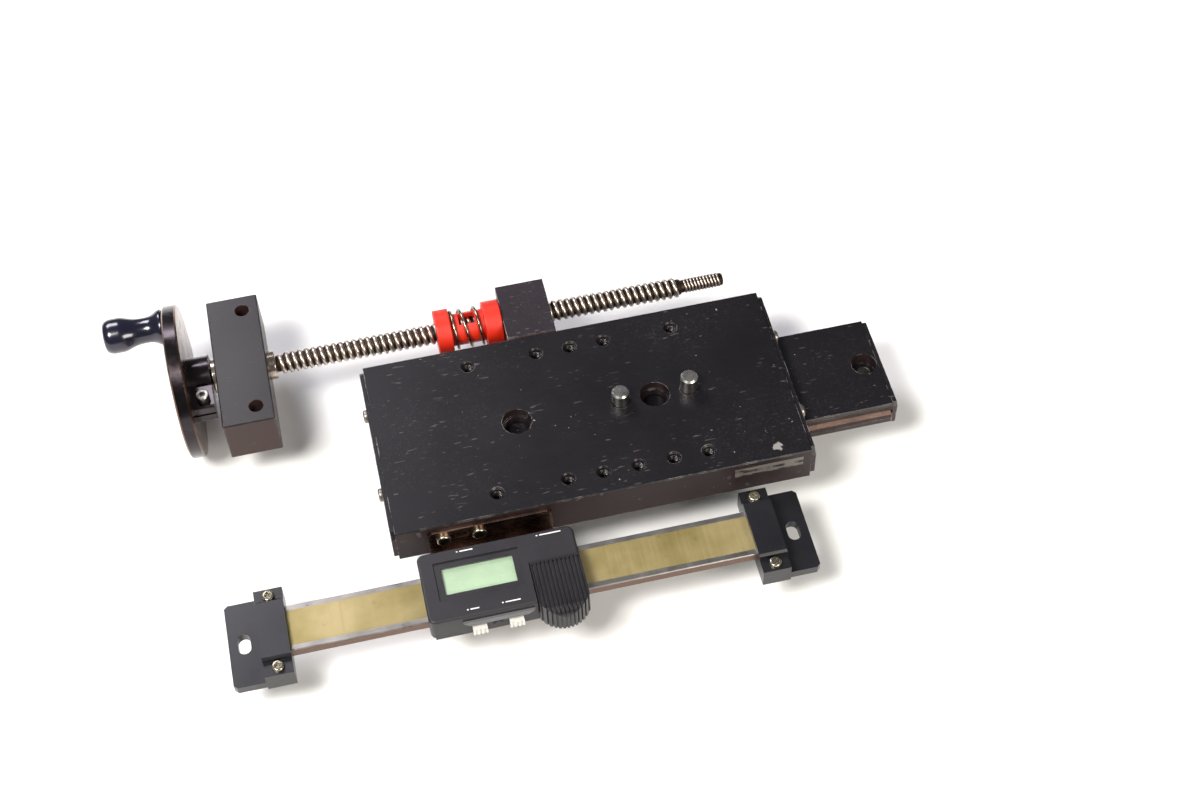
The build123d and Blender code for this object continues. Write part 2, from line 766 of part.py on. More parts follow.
def make_crank_knob():
    """A turned grip: a full outer end, a narrow neck and a flared foot at the wheel."""
    foot = wheel_left - knob_gap
    tip = foot - knob_length
    outer = [
        (foot, knob_foot_radius - knob_foot_round), (foot - knob_foot_round, knob_foot_radius),
        (foot - knob_foot_length, knob_foot_radius - knob_foot_round / 2),
        (foot - knob_neck_place, knob_neck_radius),
        (tip + knob_shoulder_place, knob_end_radius - knob_shoulder_drop),
        (tip + knob_full_place, knob_end_radius),
        (tip + knob_end_round, knob_end_radius - knob_end_drop), (tip, knob_recess_radius + knob_rim),
    ]
    edges = [
        Line((foot, 0), outer[0]),
        Line(outer[0], outer[1]),
        Spline(*outer[1:]),
        Line(outer[-1], (tip, 0)),
        Line((tip, 0), (foot, 0)),
    ]
    grip = revolve(make_face(Curve() + edges), Axis.X)
    grip -= rod_x(axle_radius + running_clearance, tip - past, foot + past, 0, 0)
    grip -= rod_x(knob_recess_radius, tip - past, tip + knob_recess_depth, 0, 0)
    return Pos(0, screw_y + knob_y, screw_z + knob_z) * grip


# ---- digital scale ----

def mirrored_x(shape):
    """A copy on the other side of the scale's middle."""
    return mirror(shape, Plane(origin=(scale_middle_x, 0, 0), z_dir=(1, 0, 0)))


def make_scale_beam():
    """The steel beam, with a shallow pocket for its strip."""
    half = scale_length / 2 - bracket_plate_length
    beam = block(scale_middle_x - half, scale_middle_x + half, scale_y - half_beam,
                 scale_y + half_beam, beam_bottom, beam_top)
    beam = chamfer(beam.edges().filter_by(Axis.X).group_by(Axis.Z)[-1], beam_chamfer)
    return beam - block(scale_middle_x - half - past, scale_middle_x + half + past,
                        scale_y - strip_width / 2, scale_y + strip_width / 2,
                        beam_top - strip_thickness, beam_top + past)


def make_scale_strip():
    """The gold-coloured strip that the reading head senses."""
    half = scale_length / 2 - bracket_plate_length
    return block(scale_middle_x - half, scale_middle_x + half, scale_y - strip_width / 2,
                 scale_y + strip_width / 2, beam_top - strip_thickness, beam_top)


def clamp_screw_places():
    """The X and Y places of one clamp's two screws."""
    x = clamp_left + clamp_length / 2
    return [(x, scale_y - clamp_screw_y), (x, scale_y + clamp_screw_y)]


def make_scale_bracket_left():
    """The left end bracket: a slotted plate and a raised pad under the beam."""
    half = clamp_half_width - bracket_step
    y0, y1 = scale_y - half, scale_y + half
    plate = block(scale_left, clamp_left, y0, y1, 0, bracket_plate_height)
    plate = chamfer(plate.edges().filter_by(Axis.Z).group_by(Axis.X)[0], bracket_corner)
    pad = block(clamp_left, clamp_left + clamp_length, scale_y - clamp_half_width,
                scale_y + clamp_half_width, 0, beam_bottom)
    bracket = plate + pad
    slot = Pos(scale_left + slot_inset, scale_y, -past) * Rot(0, 0, 90)
    bracket -= slot * extrude(SlotOverall(slot_length, slot_width), bracket_plate_height + 2 * past)
    for x, y in clamp_screw_places():
        bracket -= rod_z(clamp_screw_radius + fixed_clearance,
                         beam_top - clamp_screw_reach - hole_bottom_gap, beam_bottom + past, x, y)
    return bracket


def make_scale_clamp_left():
    """The clamp over the beam's left end: two tabs and a bridge."""
    x0, x1 = clamp_left, clamp_left + clamp_length
    clamp = block(x0, x1, scale_y - clamp_half_width, scale_y + clamp_half_width, beam_bottom, beam_top)
    bridge = block(x0, x1, scale_y - clamp_bridge_half, scale_y + clamp_bridge_half, beam_bottom,
                   beam_top + clamp_bridge)
    clamp += chamfer(bridge.edges().filter_by(Axis.X).group_by(Axis.Z)[-1], clamp_chamfer)
    clamp -= block(x0 - past, x1 + past, scale_y - half_beam, scale_y + half_beam,
                   beam_bottom - past, beam_top)
    for x, y in clamp_screw_places():
        clamp -= rod_z(clamp_screw_radius + fixed_clearance, beam_bottom - past, beam_top + past, x, y)
    return clamp


def make_scale_clamp_screws():
    """Four pan-head cross-recess screws, two in each clamp."""
    screws = []
    for x, y in clamp_screw_places():
        head = rod_z(clamp_screw_head_radius, beam_top, beam_top + clamp_screw_head_height, x, y)
        head = fillet(head.faces().sort_by(Axis.Z)[-1].edges(), clamp_screw_fillet)
        for turn in (recess_turn, recess_turn + 90):
            recess = Pos(x, y, beam_top + clamp_screw_head_height) * Rot(0, 0, turn)
            head -= recess * Box(recess_length, recess_width, 2 * recess_depth)
        screws.append(head + rod_z(clamp_screw_radius, beam_top - clamp_screw_reach, beam_top, x, y))
    return group(screws + [mirrored_x(screw) for screw in screws])


# ---- reading head ----

def make_head_base():
    """The lower half of the reading head, a channel that the beam runs through."""
    inset = head_wall + head_fit
    base = block(head_left + inset, head_right - inset, head_front + inset, head_back - inset,
                 head_floor, tunnel_roof)
    base -= block(head_left - past, head_right + past, scale_y - tunnel_half, scale_y + tunnel_half,
                  beam_bottom - beam_play, tunnel_roof + past)
    pocket = button_flange_thickness + button_travel + button_play
    for x in front_button_places:
        half = button_half_width + button_flange + button_play
        base -= block(x - half, x + half, head_front, head_front + inset + pocket,
                      button_bottom - button_flange - button_play, tunnel_roof + past)
    for x in back_button_places:
        half = button_half_width + button_flange + button_play
        base -= block(x - half, x + half, head_back - inset - pocket, head_back,
                      button_bottom - button_flange - button_play, tunnel_roof + past)
    for x in foot_screw_places:
        base -= rod_z(foot_screw_radius + fixed_clearance, head_floor - past,
                      bracket_foot_bottom + foot_screw_height + foot_screw_gap, x, foot_screw_y)
    return base


def make_head_case():
    """The upper half of the reading head: a shell with a window, button holes and a battery bay."""
    case = block(head_left, head_right, head_front, head_back, head_skirt, head_top)
    case = fillet(case.edges().filter_by(Axis.Z), case_corner)
    case = fillet(case.faces().sort_by(Axis.Z)[-1].edges(), case_edge)
    case -= block(head_left + head_wall, head_right - head_wall, head_front + head_wall,
                  head_back - head_wall, head_skirt - past, roof_under)
    case -= block(head_left - past, head_right + past, scale_y - tunnel_half, scale_y + tunnel_half,
                  head_skirt - past, tunnel_roof)
    half_x, half_y = window_length / 2, window_width / 2
    case -= block(window_x - half_x, window_x + half_x, window_y - half_y, window_y + half_y,
                  roof_under - past, head_top + past)
    case -= block(window_x - half_x - bezel_margin_x, window_x + half_x + bezel_margin_x,
                  window_y - half_y - bezel_margin_y, window_y + half_y + bezel_margin_y,
                  head_top - bezel_depth, head_top + past)
    case -= block(cover_left - cover_play, head_right + past, head_front - past, cover_back + cover_play,
                  cover_lower - cover_play, head_top + past)
    half = button_half_width + button_play
    z0, z1 = button_bottom - button_play, button_bottom + button_height + button_play
    for x in front_button_places:
        case -= block(x - half, x + half, head_front - past, head_front + head_wall + past, z0, z1)
    for x in back_button_places:
        case -= block(x - half, x + half, head_back - head_wall - past, head_back + past, z0, z1)
    return case - rod_y(port_radius + fixed_clearance, head_front - past, head_front + head_wall,
                        port_x, port_z)


def make_display_window():
    """The clear plate over the display."""
    half_x, half_y = window_length / 2 - window_fit, window_width / 2 - window_fit
    return block(window_x - half_x, window_x + half_x, window_y - half_y, window_y + half_y,
                 window_bottom, window_bottom + window_thickness)


def make_display_panel():
    """The display under the window."""
    half_x, half_y = window_length / 2 + panel_margin, window_width / 2 + panel_margin
    return block(window_x - half_x, window_x + half_x, window_y - half_y, window_y + half_y,
                 panel_bottom, window_bottom)


def make_display_connectors():
    """Two rubber strips that join the display to the board."""
    half_x, half_y = window_length / 2, window_width / 2
    return group(
        block(window_x - half_x, window_x + half_x, y - connector_width / 2, y + connector_width / 2,
              board_top, panel_bottom)
        for y in (window_y - half_y, window_y + half_y)
    )


def make_circuit_board():
    """The board, whose underside reads the strip on the beam."""
    inset = head_wall + board_gap
    button_room = button_flange_thickness + button_travel + button_play
    return block(head_left + inset, head_right - inset, head_front + inset + button_room,
                 head_back - inset - button_room, tunnel_roof, board_top)


def make_cell_contacts():
    """A flat contact under the cell and a curved one at its side."""
    half, arc_half, arc_top = contact_half_width, contact_arc_half_width, board_top + contact_arc_height
    flat = block(cell_x - half, cell_x + half, cell_y - half, cell_y + half, board_top, cell_bottom)
    arc = rod_z(cell_radius + 2 * contact_thickness, board_top, arc_top, cell_x, cell_y)
    arc -= rod_z(cell_radius + contact_thickness, board_top - past, arc_top + past, cell_x, cell_y)
    arc &= block(cell_x - arc_half, cell_x + arc_half, cell_y, cell_y + 2 * cell_radius, board_top, arc_top)
    return group([flat, arc])


def make_button_cell():
    """The round cell that powers the display."""
    cell = rod_z(cell_radius, cell_bottom, cell_bottom + cell_height, cell_x, cell_y)
    return fillet(cell.edges().filter_by(GeomType.CIRCLE), cell_fillet)


def cover_form(inset):
    """The cover's outer form, drawn in at its front and top by an inset."""
    front, top = head_front - cover_bulge + inset, cover_top - inset
    arc_start = head_front - cover_straight + inset
    tip = (cover_left + head_right) / 2
    outline = Curve() + [
        Line((cover_left, cover_back), (cover_left, arc_start)),
        ThreePointArc((cover_left, arc_start), (tip, front), (head_right, arc_start)),
        Line((head_right, arc_start), (head_right, cover_back)),
        Line((head_right, cover_back), (cover_left, cover_back)),
    ]
    form = Pos(0, 0, head_skirt) * extrude(make_face(outline), top - head_skirt)
    profile = block(cover_left - past, head_right + past, front, cover_back + past, head_skirt, top)
    return form & fillet(profile.edges().filter_by(Axis.X).group_by(Axis.Z)[-1].sort_by(Axis.Y)[0],
                         cover_front_radius)


def make_battery_cover():
    """The cover, ribbed over its top and front, with a channel inside that lets it slide off the cell."""
    cover = cover_form(0)
    core = cover_form(rib_groove_depth)
    step = (head_right - cover_left) / rib_count
    for i in range(rib_count):
        x = cover_left + (i + 0.5) * step
        groove = block(x - rib_groove_width / 2, x + rib_groove_width / 2,
                       head_front - cover_bulge - past, cover_back - rib_margin,
                       head_skirt - past, cover_top + past)
        cover -= groove - core
    cover -= block(cover_left - past, head_right + past, head_front - cover_play, cover_back + past,
                   head_skirt - past, cover_lower)
    channel = cell_radius + cover_play
    cover -= block(cell_x - channel, cell_x + channel, cell_y, cover_back + past, head_skirt, cell_roof)
    cover -= rod_z(channel, cover_lower - past, cell_roof, cell_x, cell_y)
    cover -= block(cover_left - past, head_right + past, head_front + head_wall,
                   cover_back + past, head_skirt, board_top + cover_play)
    return cover


def button(x, face_y, outward, reach):
    """A push button: a flange behind the wall and a ribbed face in front of it."""
    inner = face_y - outward * (head_wall + head_fit)
    y0, y1 = span(inner, face_y + outward * reach)
    body = block(x - button_half_width, x + button_half_width, y0, y1, button_bottom,
                 button_bottom + button_height)
    y0, y1 = span(inner, inner - outward * button_flange_thickness)
    wide = button_half_width + button_flange
    body += block(x - wide, x + wide, y0, y1, button_bottom - button_flange,
                  tunnel_roof - head_fit)
    for middle in (x - button_groove_pitch, x, x + button_groove_pitch):
        y0, y1 = span(face_y + outward * (reach - button_groove_depth), face_y + outward * (reach + past))
        body -= block(middle - button_groove_width / 2, middle + button_groove_width / 2, y0, y1,
                      button_bottom - past, button_bottom + button_height + past)
    return body


def make_data_port_cap():
    """The small round plug between the two front buttons."""
    plug = rod_y(port_radius, head_front - port_reach, head_front + head_wall, port_x, port_z)
    return chamfered_end(plug, small_chamfer, 0, Axis.Y)


def make_button_ledge():
    """The raised ledge above the front buttons, with slanted ends."""
    inset = ledge_top - ledge_bottom
    outline = Polyline(
        (ledge_left, ledge_top), (ledge_left + inset, ledge_bottom),
        (ledge_right - inset, ledge_bottom), (ledge_right, ledge_top), close=True)
    plate = extrude(Plane.XZ * make_face(outline), ledge_reach)
    return Pos(0, head_front, 0) * plate


def make_head_bracket():
    """The bent plate from the carriage's front face to the underside of the reading head."""
    upright = block(head_bracket_left, head_bracket_right, bracket_face, -half_carriage,
                    bracket_foot_bottom, head_bracket_top)
    upright = chamfer(upright.edges().filter_by(Axis.Y).group_by(Axis.Z)[-1], head_bracket_corner)
    foot = block(head_bracket_left, head_bracket_right, bracket_face - head_bracket_foot,
                 bracket_face, bracket_foot_bottom, head_floor)
    bracket = upright + foot
    for x in bracket_screw_places:
        bracket -= rod_y(bracket_screw_radius + fixed_clearance, bracket_face - past,
                         -half_carriage + past, x, bracket_screw_z)
    middle = sum(bracket_screw_places) / 2
    slot = Pos(middle, -half_carriage + past, bracket_screw_z) * Rot(90, 0, 0)
    bracket -= slot * extrude(SlotOverall(bracket_slot_length, bracket_slot_height),
                              head_bracket_thickness + 2 * past)
    for x in foot_screw_places:
        bracket -= rod_z(foot_screw_radius + fixed_clearance, bracket_foot_bottom - past,
                         head_floor + past, x, foot_screw_y)
    return bracket


def make_bracket_screws():
    """Two pan-head screws into the carriage and two flush ones into the reading head."""
    screws = []
    for x in bracket_screw_places:
        head = rod_y(bracket_screw_head_radius, bracket_face - bracket_screw_head_height,
                     bracket_face, x, bracket_screw_z)
        head = fillet(head.faces().sort_by(Axis.Y)[0].edges(), bracket_screw_fillet)
        shank = rod_y(bracket_screw_radius, bracket_face, -half_carriage + bracket_screw_reach,
                      x, bracket_screw_z)
        screws.append(head + shank)
    for x in foot_screw_places:
        screws.append(rod_z(foot_screw_radius, bracket_foot_bottom, bracket_foot_bottom + foot_screw_height,
                            x, foot_screw_y))
    return group(screws)


def make_parts():
    """Every piece by its node's name."""
    base_rail_back_y = half_base - rail_depth
    parts = {
        "slide_base": make_slide_base(),
        "base_end_plate_left": make_base_end_plate(-1),
        "base_end_plate_right": make_base_end_plate(1),
        "base_end_plate_screws": make_base_end_plate_screws(),
        "carriage_block": make_carriage_block(),
        "carriage_end_plate_left": make_carriage_end_plate(-1),
        "carriage_end_plate_right": make_carriage_end_plate(1),
        "carriage_end_plate_screws": make_carriage_end_plate_screws(),
        "dowel_pins": make_dowel_pins(),
        "bearing_block": make_bearing_block(),
        "bearing_wheel_side": make_bearing(block_left, 1, wheel_flange_radius, wheel_flange_thickness),
        "bearing_nut_side": make_bearing(block_right, -1, nut_flange_radius, nut_flange_thickness),
        "lead_screw": make_lead_screw(),
        "nut_block": make_nut_block(),
        "nut_block_screws": make_nut_block_screws(),
        "nut_body": make_nut_body(),
        "nut_takeup": make_nut_takeup(),
        "nut_spring": make_nut_spring(),
        "handwheel": make_handwheel(),
        "wheel_hub": make_wheel_hub(),
        "hub_clamp_screw": make_hub_clamp_screw(),
        "knob_axle": make_knob_axle(),
        "crank_knob": make_crank_knob(),
        "scale_beam": make_scale_beam(),
        "scale_strip": make_scale_strip(),
        "scale_bracket_left": make_scale_bracket_left(),
        "scale_bracket_right": mirrored_x(make_scale_bracket_left()),
        "scale_clamp_left": make_scale_clamp_left(),
        "scale_clamp_right": mirrored_x(make_scale_clamp_left()),
        "scale_clamp_screws": make_scale_clamp_screws(),
        "head_base": make_head_base(),
        "head_case": make_head_case(),
        "display_window": make_display_window(),
        "display_panel": make_display_panel(),
        "display_connectors": make_display_connectors(),
        "circuit_board": make_circuit_board(),
        "cell_contacts": make_cell_contacts(),
        "button_cell": make_button_cell(),
        "battery_cover": make_battery_cover(),
        "data_port_cap": make_data_port_cap(),
        "button_ledge": make_button_ledge(),
        "head_bracket": make_head_bracket(),
        "bracket_screws": make_bracket_screws(),
    }
    for name, side in (("front", -1), ("back", 1)):
        base_rail = (side * half_base, side * base_rail_back_y, 0)
        carriage_rail = (side * carriage_rail_face, side * tunnel_half_width, rest_offset)
        parts[f"base_rail_{name}"] = rail(*base_rail)
        parts[f"carriage_rail_{name}"] = rail(*carriage_rail)
        parts[f"roller_cage_{name}"] = make_cage(side)
        parts[f"rollers_{name}"] = make_rollers(side)
    sides = (-1, 1)
    parts["base_rail_screws"] = group(
        screw for s in sides for screw in rail_screws(s * half_base, s * base_rail_back_y, 0))
    parts["carriage_rail_screws"] = group(
        screw for s in sides
        for screw in rail_screws(s * carriage_rail_face, s * tunnel_half_width, rest_offset))
    for name, x in zip(("button_off", "button_on_zero"), front_button_places):
        parts[name] = button(x, head_front, -1, button_reach)
    for name, x in zip(("button_in_mm", "button_hold"), back_button_places):
        parts[name] = button(x, head_back, 1, back_button_reach)
    return parts


os.makedirs("parts", exist_ok=True)
for node, shape in make_parts().items():
    export_step(shape, f"parts/{node}.step")
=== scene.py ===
"""The looks of a lead-screw slide with a handwheel and a digital scale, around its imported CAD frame."""

import math

import bmesh
import bpy
import numpy as np
from bpy.props import FloatProperty, FloatVectorProperty, IntProperty, PointerProperty
from bpy.types import Operator, Panel, PropertyGroup
from mathutils import Matrix, Vector


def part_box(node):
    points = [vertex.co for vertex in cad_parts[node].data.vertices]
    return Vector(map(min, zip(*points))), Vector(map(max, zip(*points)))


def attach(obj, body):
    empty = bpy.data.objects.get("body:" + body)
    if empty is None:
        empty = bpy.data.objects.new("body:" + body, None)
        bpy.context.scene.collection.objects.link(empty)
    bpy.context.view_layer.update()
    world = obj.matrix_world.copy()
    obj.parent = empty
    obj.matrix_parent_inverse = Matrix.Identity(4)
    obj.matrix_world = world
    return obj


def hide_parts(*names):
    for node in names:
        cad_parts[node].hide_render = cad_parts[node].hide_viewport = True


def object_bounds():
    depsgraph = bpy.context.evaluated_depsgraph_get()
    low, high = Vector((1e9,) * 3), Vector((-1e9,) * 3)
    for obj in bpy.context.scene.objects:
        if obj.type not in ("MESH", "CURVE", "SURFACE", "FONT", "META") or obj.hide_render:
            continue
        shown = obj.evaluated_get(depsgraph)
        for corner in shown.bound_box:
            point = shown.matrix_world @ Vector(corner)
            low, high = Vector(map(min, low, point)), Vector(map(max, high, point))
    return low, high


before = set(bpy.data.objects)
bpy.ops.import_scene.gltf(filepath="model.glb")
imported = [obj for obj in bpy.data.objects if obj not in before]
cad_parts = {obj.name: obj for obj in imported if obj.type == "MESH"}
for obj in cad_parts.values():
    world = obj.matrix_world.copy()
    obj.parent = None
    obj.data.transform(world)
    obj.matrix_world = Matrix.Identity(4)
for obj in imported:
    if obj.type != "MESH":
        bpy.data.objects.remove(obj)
CAD_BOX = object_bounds()

bl_info = {
    "name": "Lead-screw slide",
    "version": (1, 0, 0),
    "blender": (4, 5, 0),
    "location": "3D View > Sidebar > Slide",
    "description": "Thread, spring, grip, markings and finishes of a lead-screw slide",
    "category": "Object",
}

MM = 0.001
SUNK = 0.01 * MM         # how far a printed mark reaches into its face
SEAM = 1e-7              # points nearer than this, in metres, are one point
RIDGE_END = 0.02         # share of a ridge's height that is left at its very ends
X_AXIS, Y_AXIS, Z_AXIS = 0, 1, 2


def colour_property(name, description, default):
    """A linear colour that a user can change."""
    return FloatVectorProperty(
        name=name, description=description, subtype="COLOR", size=3, min=0.0, max=1.0, default=default
    )


def length_property(name, description, default):
    """A length in metres that a user can change."""
    return FloatProperty(
        name=name, description=description, default=default, min=0.0, subtype="DISTANCE", unit="LENGTH"
    )


class SlideSizes(PropertyGroup):
    """Sizes of the pieces that are added to the frame."""

    thread_lead: length_property("Thread lead", "Travel of one turn of the lead screw", 2.54 * MM)
    thread_depth: length_property("Thread depth", "Height of the lead screw's ridge", 0.95 * MM)
    spring_wire: length_property("Spring wire", "Diameter of the nut spring's wire", 1.1 * MM)
    spring_turns: IntProperty(
        name="Spring turns", description="Turns of the nut spring", default=3, min=2, max=12)
    tap_lead: length_property("Tap lead", "Pitch of the thread in the carriage's holes", 0.79 * MM)
    tap_depth: length_property("Tap depth", "Height of the ridge in the carriage's holes", 0.35 * MM)
    tap_radius: length_property("Tap radius", "Radius of the carriage's tapped holes", 2.1 * MM)
    tap_hole: length_property("Tapped hole", "Depth of the carriage's tapped holes", 6.0 * MM)
    mark_height: length_property("Mark height", "How far a printed mark stands off its face", 0.04 * MM)


class SlideColours(PropertyGroup):
    """Colours of the finishes."""

    anodised: colour_property("Anodised", "Black of the carriage and the base", (0.0042, 0.0036, 0.0050))
    block: colour_property("Bearing block", "Charcoal of the bearing block", (0.0075, 0.0056, 0.0064))
    bare: colour_property("Bare metal", "Aluminium where the black has worn off", (0.50, 0.47, 0.45))
    rail: colour_property("Rails", "Brown ground steel of the rails and rollers", (0.060, 0.040, 0.034))
    brass: colour_property("Cages", "Brass of the roller cages", (0.55, 0.40, 0.16))
    plate_screw: colour_property("Plate screws", "Dull steel of the plate screws", (0.36, 0.32, 0.29))
    pin: colour_property("Dowel pins", "Ground steel of the dowel pins", (0.50, 0.48, 0.45))
    nut_block: colour_property("Nut block", "Mottled grey of the nut block", (0.018, 0.014, 0.018))
    bearing: colour_property("Bearings", "Steel of the bearings' flanges", (0.55, 0.46, 0.38))
    thread: colour_property("Thread", "Rolled thread of the lead screw", (0.66, 0.58, 0.50))
    # Painted shade: this colour stands in for the shade down in the thread's grooves.
    groove_shade: colour_property("Thread grooves", "Oil in the thread's grooves", (0.055, 0.037, 0.027))
    spring: colour_property("Spring", "Dull steel of the nut's spring", (0.40, 0.32, 0.24))
    tapped: colour_property("Tapped threads", "Grey of the deck's threads", (0.085, 0.080, 0.080))
    wheel: colour_property("Handwheel", "Dark polished steel of the handwheel", (0.040, 0.032, 0.036))
    wheel_face: colour_property("Wheel faces", "Brown of the handwheel's faces", (0.15, 0.085, 0.055))
    clamp_screw: colour_property("Clamp screw", "Steel of the hub's screw", (0.36, 0.34, 0.32))
    knob: colour_property("Knob", "Glossy black of the crank knob", (0.0040, 0.0036, 0.014))
    nut: colour_property("Nut", "Red of the nut", (0.58, 0.018, 0.004))
    strip: colour_property("Scale strip", "Gold of the scale's strip", (0.31, 0.245, 0.085))
    beam: colour_property("Scale beam", "Ground steel of the beam", (0.40, 0.38, 0.35))
    beam_side: colour_property("Beam sides", "Brown of the beam's sides", (0.15, 0.095, 0.075))
    cross_screw: colour_property("Cross screws", "Yellowish steel of the screws", (0.50, 0.45, 0.34))
    enamel: colour_property("Enamel", "Black of the scale's end brackets", (0.0048, 0.0046, 0.0068))
    case: colour_property("Reading head", "Black of the reading head's case", (0.0085, 0.0075, 0.0100))
    button: colour_property("Buttons", "White of the buttons", (0.62, 0.61, 0.57))
    ledge: colour_property("Button ledge", "Grey of the ledge over the buttons", (0.11, 0.11, 0.115))
    rubber: colour_property("Rubber", "Black of the port cap and the connectors", (0.02, 0.02, 0.02))
    window: colour_property("Window", "Tint of the clear window", (0.55, 0.62, 0.55))
    board: colour_property("Board", "Green of the circuit board", (0.012, 0.07, 0.03))
    track: colour_property("Board tracks", "Green over the board's tracks", (0.03, 0.16, 0.06))
    contact: colour_property("Contacts", "Brass of the cell's contacts", (0.70, 0.52, 0.22))
    cell: colour_property("Cell", "Steel of the button cell", (0.70, 0.70, 0.68))
    display: colour_property("Display", "Pale green of the display", (0.36, 0.50, 0.33))
    bracket: colour_property("Head bracket", "Brownish bare steel of the bent bracket", (0.30, 0.19, 0.145))
    print_white: colour_property("Print", "White of the printed marks", (0.72, 0.72, 0.70))
    label: colour_property("Label", "Worn silver of the side label", (0.16, 0.145, 0.13))
    label_ink: colour_property("Label rules", "Black of the label's ruled lines", (0.012, 0.010, 0.010))


# ---- meshes ----

def make_piece(name, points, faces, body, slot, smooth=True):
    """A mesh object from an array of points in metres and lists of faces, riding on a body."""
    mesh = bpy.data.meshes.new(name)
    mesh.from_pydata(np.asarray(points, float).tolist(), [], [list(map(int, face)) for face in faces])
    mesh.validate()
    mesh.update()
    mesh.polygons.foreach_set("use_smooth", [smooth] * len(mesh.polygons))
    piece = bpy.data.objects.new(name, mesh)
    bpy.context.scene.collection.objects.link(piece)
    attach(piece, body)
    return piece


def ring_faces(rows, columns, offset=0):
    """Quads between neighbouring rows of a grid whose columns close on themselves, and a cap at each end."""
    i, j = np.meshgrid(np.arange(rows - 1), np.arange(columns), indexing="ij")
    k = (j + 1) % columns
    quads = np.stack([i * columns + j, i * columns + k, (i + 1) * columns + k, (i + 1) * columns + j], -1)
    faces = [list(face) for face in (quads.reshape(-1, 4) + offset)]
    faces.append([offset + column for column in reversed(range(columns))])
    faces.append([offset + (rows - 1) * columns + column for column in range(columns)])
    return faces


def turned_surface(profile, centre, segments=64):
    """A profile of (x, radius) pairs turned about the X axis through a centre.

    A point at profile place i and angle a is x_i along X, and radius_i at angle a around it.
    """
    x, radius = np.asarray(profile, float).T
    angle = np.linspace(0, 2 * math.pi, segments, endpoint=False)
    points = np.empty((len(x), segments, 3))
    points[..., 0] = x[:, None]
    points[..., 1] = centre[1] + radius[:, None] * np.cos(angle)
    points[..., 2] = centre[2] + radius[:, None] * np.sin(angle)
    return points.reshape(-1, 3), ring_faces(len(x), segments)


def helical_ridge(start, turns, lead, root, crest, section, centre, axis, steps=40, runout=0.3):
    """A ridge that winds round an axis, for a thread.

    A point at turn t and section place j is at angle 2 pi t; along the axis it is start + lead (t + u_j),
    and its radius goes from root to crest by v_j. At both ends the height fades to nothing over runout
    turns. The axis is X or Z; crest is under root for a thread inside a hole.
    """
    u, v = np.asarray(section, float).T
    t = np.linspace(0, turns, int(turns * steps) + 1)
    fade = np.clip(np.minimum(t, turns - t) / runout, RIDGE_END, 1.0)
    along = start + lead * (t[:, None] + u[None, :])
    radius = root + (crest - root) * v[None, :] * fade[:, None]
    angle = 2 * math.pi * t[:, None] * np.ones_like(u)[None, :]
    first, second = (Y_AXIS, Z_AXIS) if axis == X_AXIS else (X_AXIS, Y_AXIS)
    points = np.empty((len(t), len(u), 3))
    points[..., axis] = along
    points[..., first] = centre[first] + radius * np.cos(angle)
    points[..., second] = centre[second] + radius * np.sin(angle)
    return points.reshape(-1, 3), ring_faces(len(t), len(u))


def wire(path, radius, segments=12):
    """A round wire along a path of points.

    The section at each point is a circle in the plane across the path's direction, which is found from the
    point's neighbours. The circle's first axis is at right angles to the X axis.
    """
    path = np.asarray(path, float)
    tangent = np.gradient(path, axis=0)
    tangent /= np.linalg.norm(tangent, axis=1)[:, None]
    across = np.cross(tangent, np.array([1.0, 0.0, 0.0]))
    across /= np.linalg.norm(across, axis=1)[:, None]
    other = np.cross(tangent, across)
    angle = np.linspace(0, 2 * math.pi, segments, endpoint=False)
    circle = (across[:, None, :] * np.cos(angle)[None, :, None]
              + other[:, None, :] * np.sin(angle)[None, :, None])
    points = path[:, None, :] + radius * circle
    return points.reshape(-1, 3), ring_faces(len(path), segments)


def joined(parts):
    """Several (points, faces) pairs as one."""
    points, faces, offset = [], [], 0
    for part_points, part_faces in parts:
        points.append(np.asarray(part_points, float))
        faces += [[index + offset for index in face] for face in part_faces]
        offset += len(part_points)
    return np.concatenate(points), faces


def bar(low, high):
    """The eight corners and six faces of a thin bar, for a printed mark."""
    (x0, y0, z0), (x1, y1, z1) = low, high
    points = [(x, y, z) for z in (z0, z1) for y in (y0, y1) for x in (x0, x1)]
    faces = [(0, 2, 3, 1), (4, 5, 7, 6), (0, 1, 5, 4), (1, 3, 7, 5), (3, 2, 6, 7), (2, 0, 4, 6)]
    return np.array(points), [list(face) for face in faces]


def recalculated(piece, seam=None):
    """Turns every face of a closed piece outwards, after merging points nearer than a seam's width."""
    work = bmesh.new()
    work.from_mesh(piece.data)
    if seam is not None:
        bmesh.ops.remove_doubles(work, verts=work.verts, dist=seam)
    bmesh.ops.recalc_face_normals(work, faces=work.faces)
    work.to_mesh(piece.data)
    work.free()
    return piece


# ---- materials ----

TURN = (0.2, 0.7)             # over this part of a face's direction, one colour gives way to another
REFLECTED_WARMTH = (5.2, 3.2, 2.4)      # painted reflection: how much more red, green and blue an upright black face shows, as it reflects warm light
CORNER_SAMPLES = 4            # samples of a softened corner
CHIP_RADII = (1.7 * MM, 1.3 * MM)  # where a chip begins, and where it is at its barest
CHIP_RAGGEDNESS = 1.0 * MM    # how far its outline wanders in and out


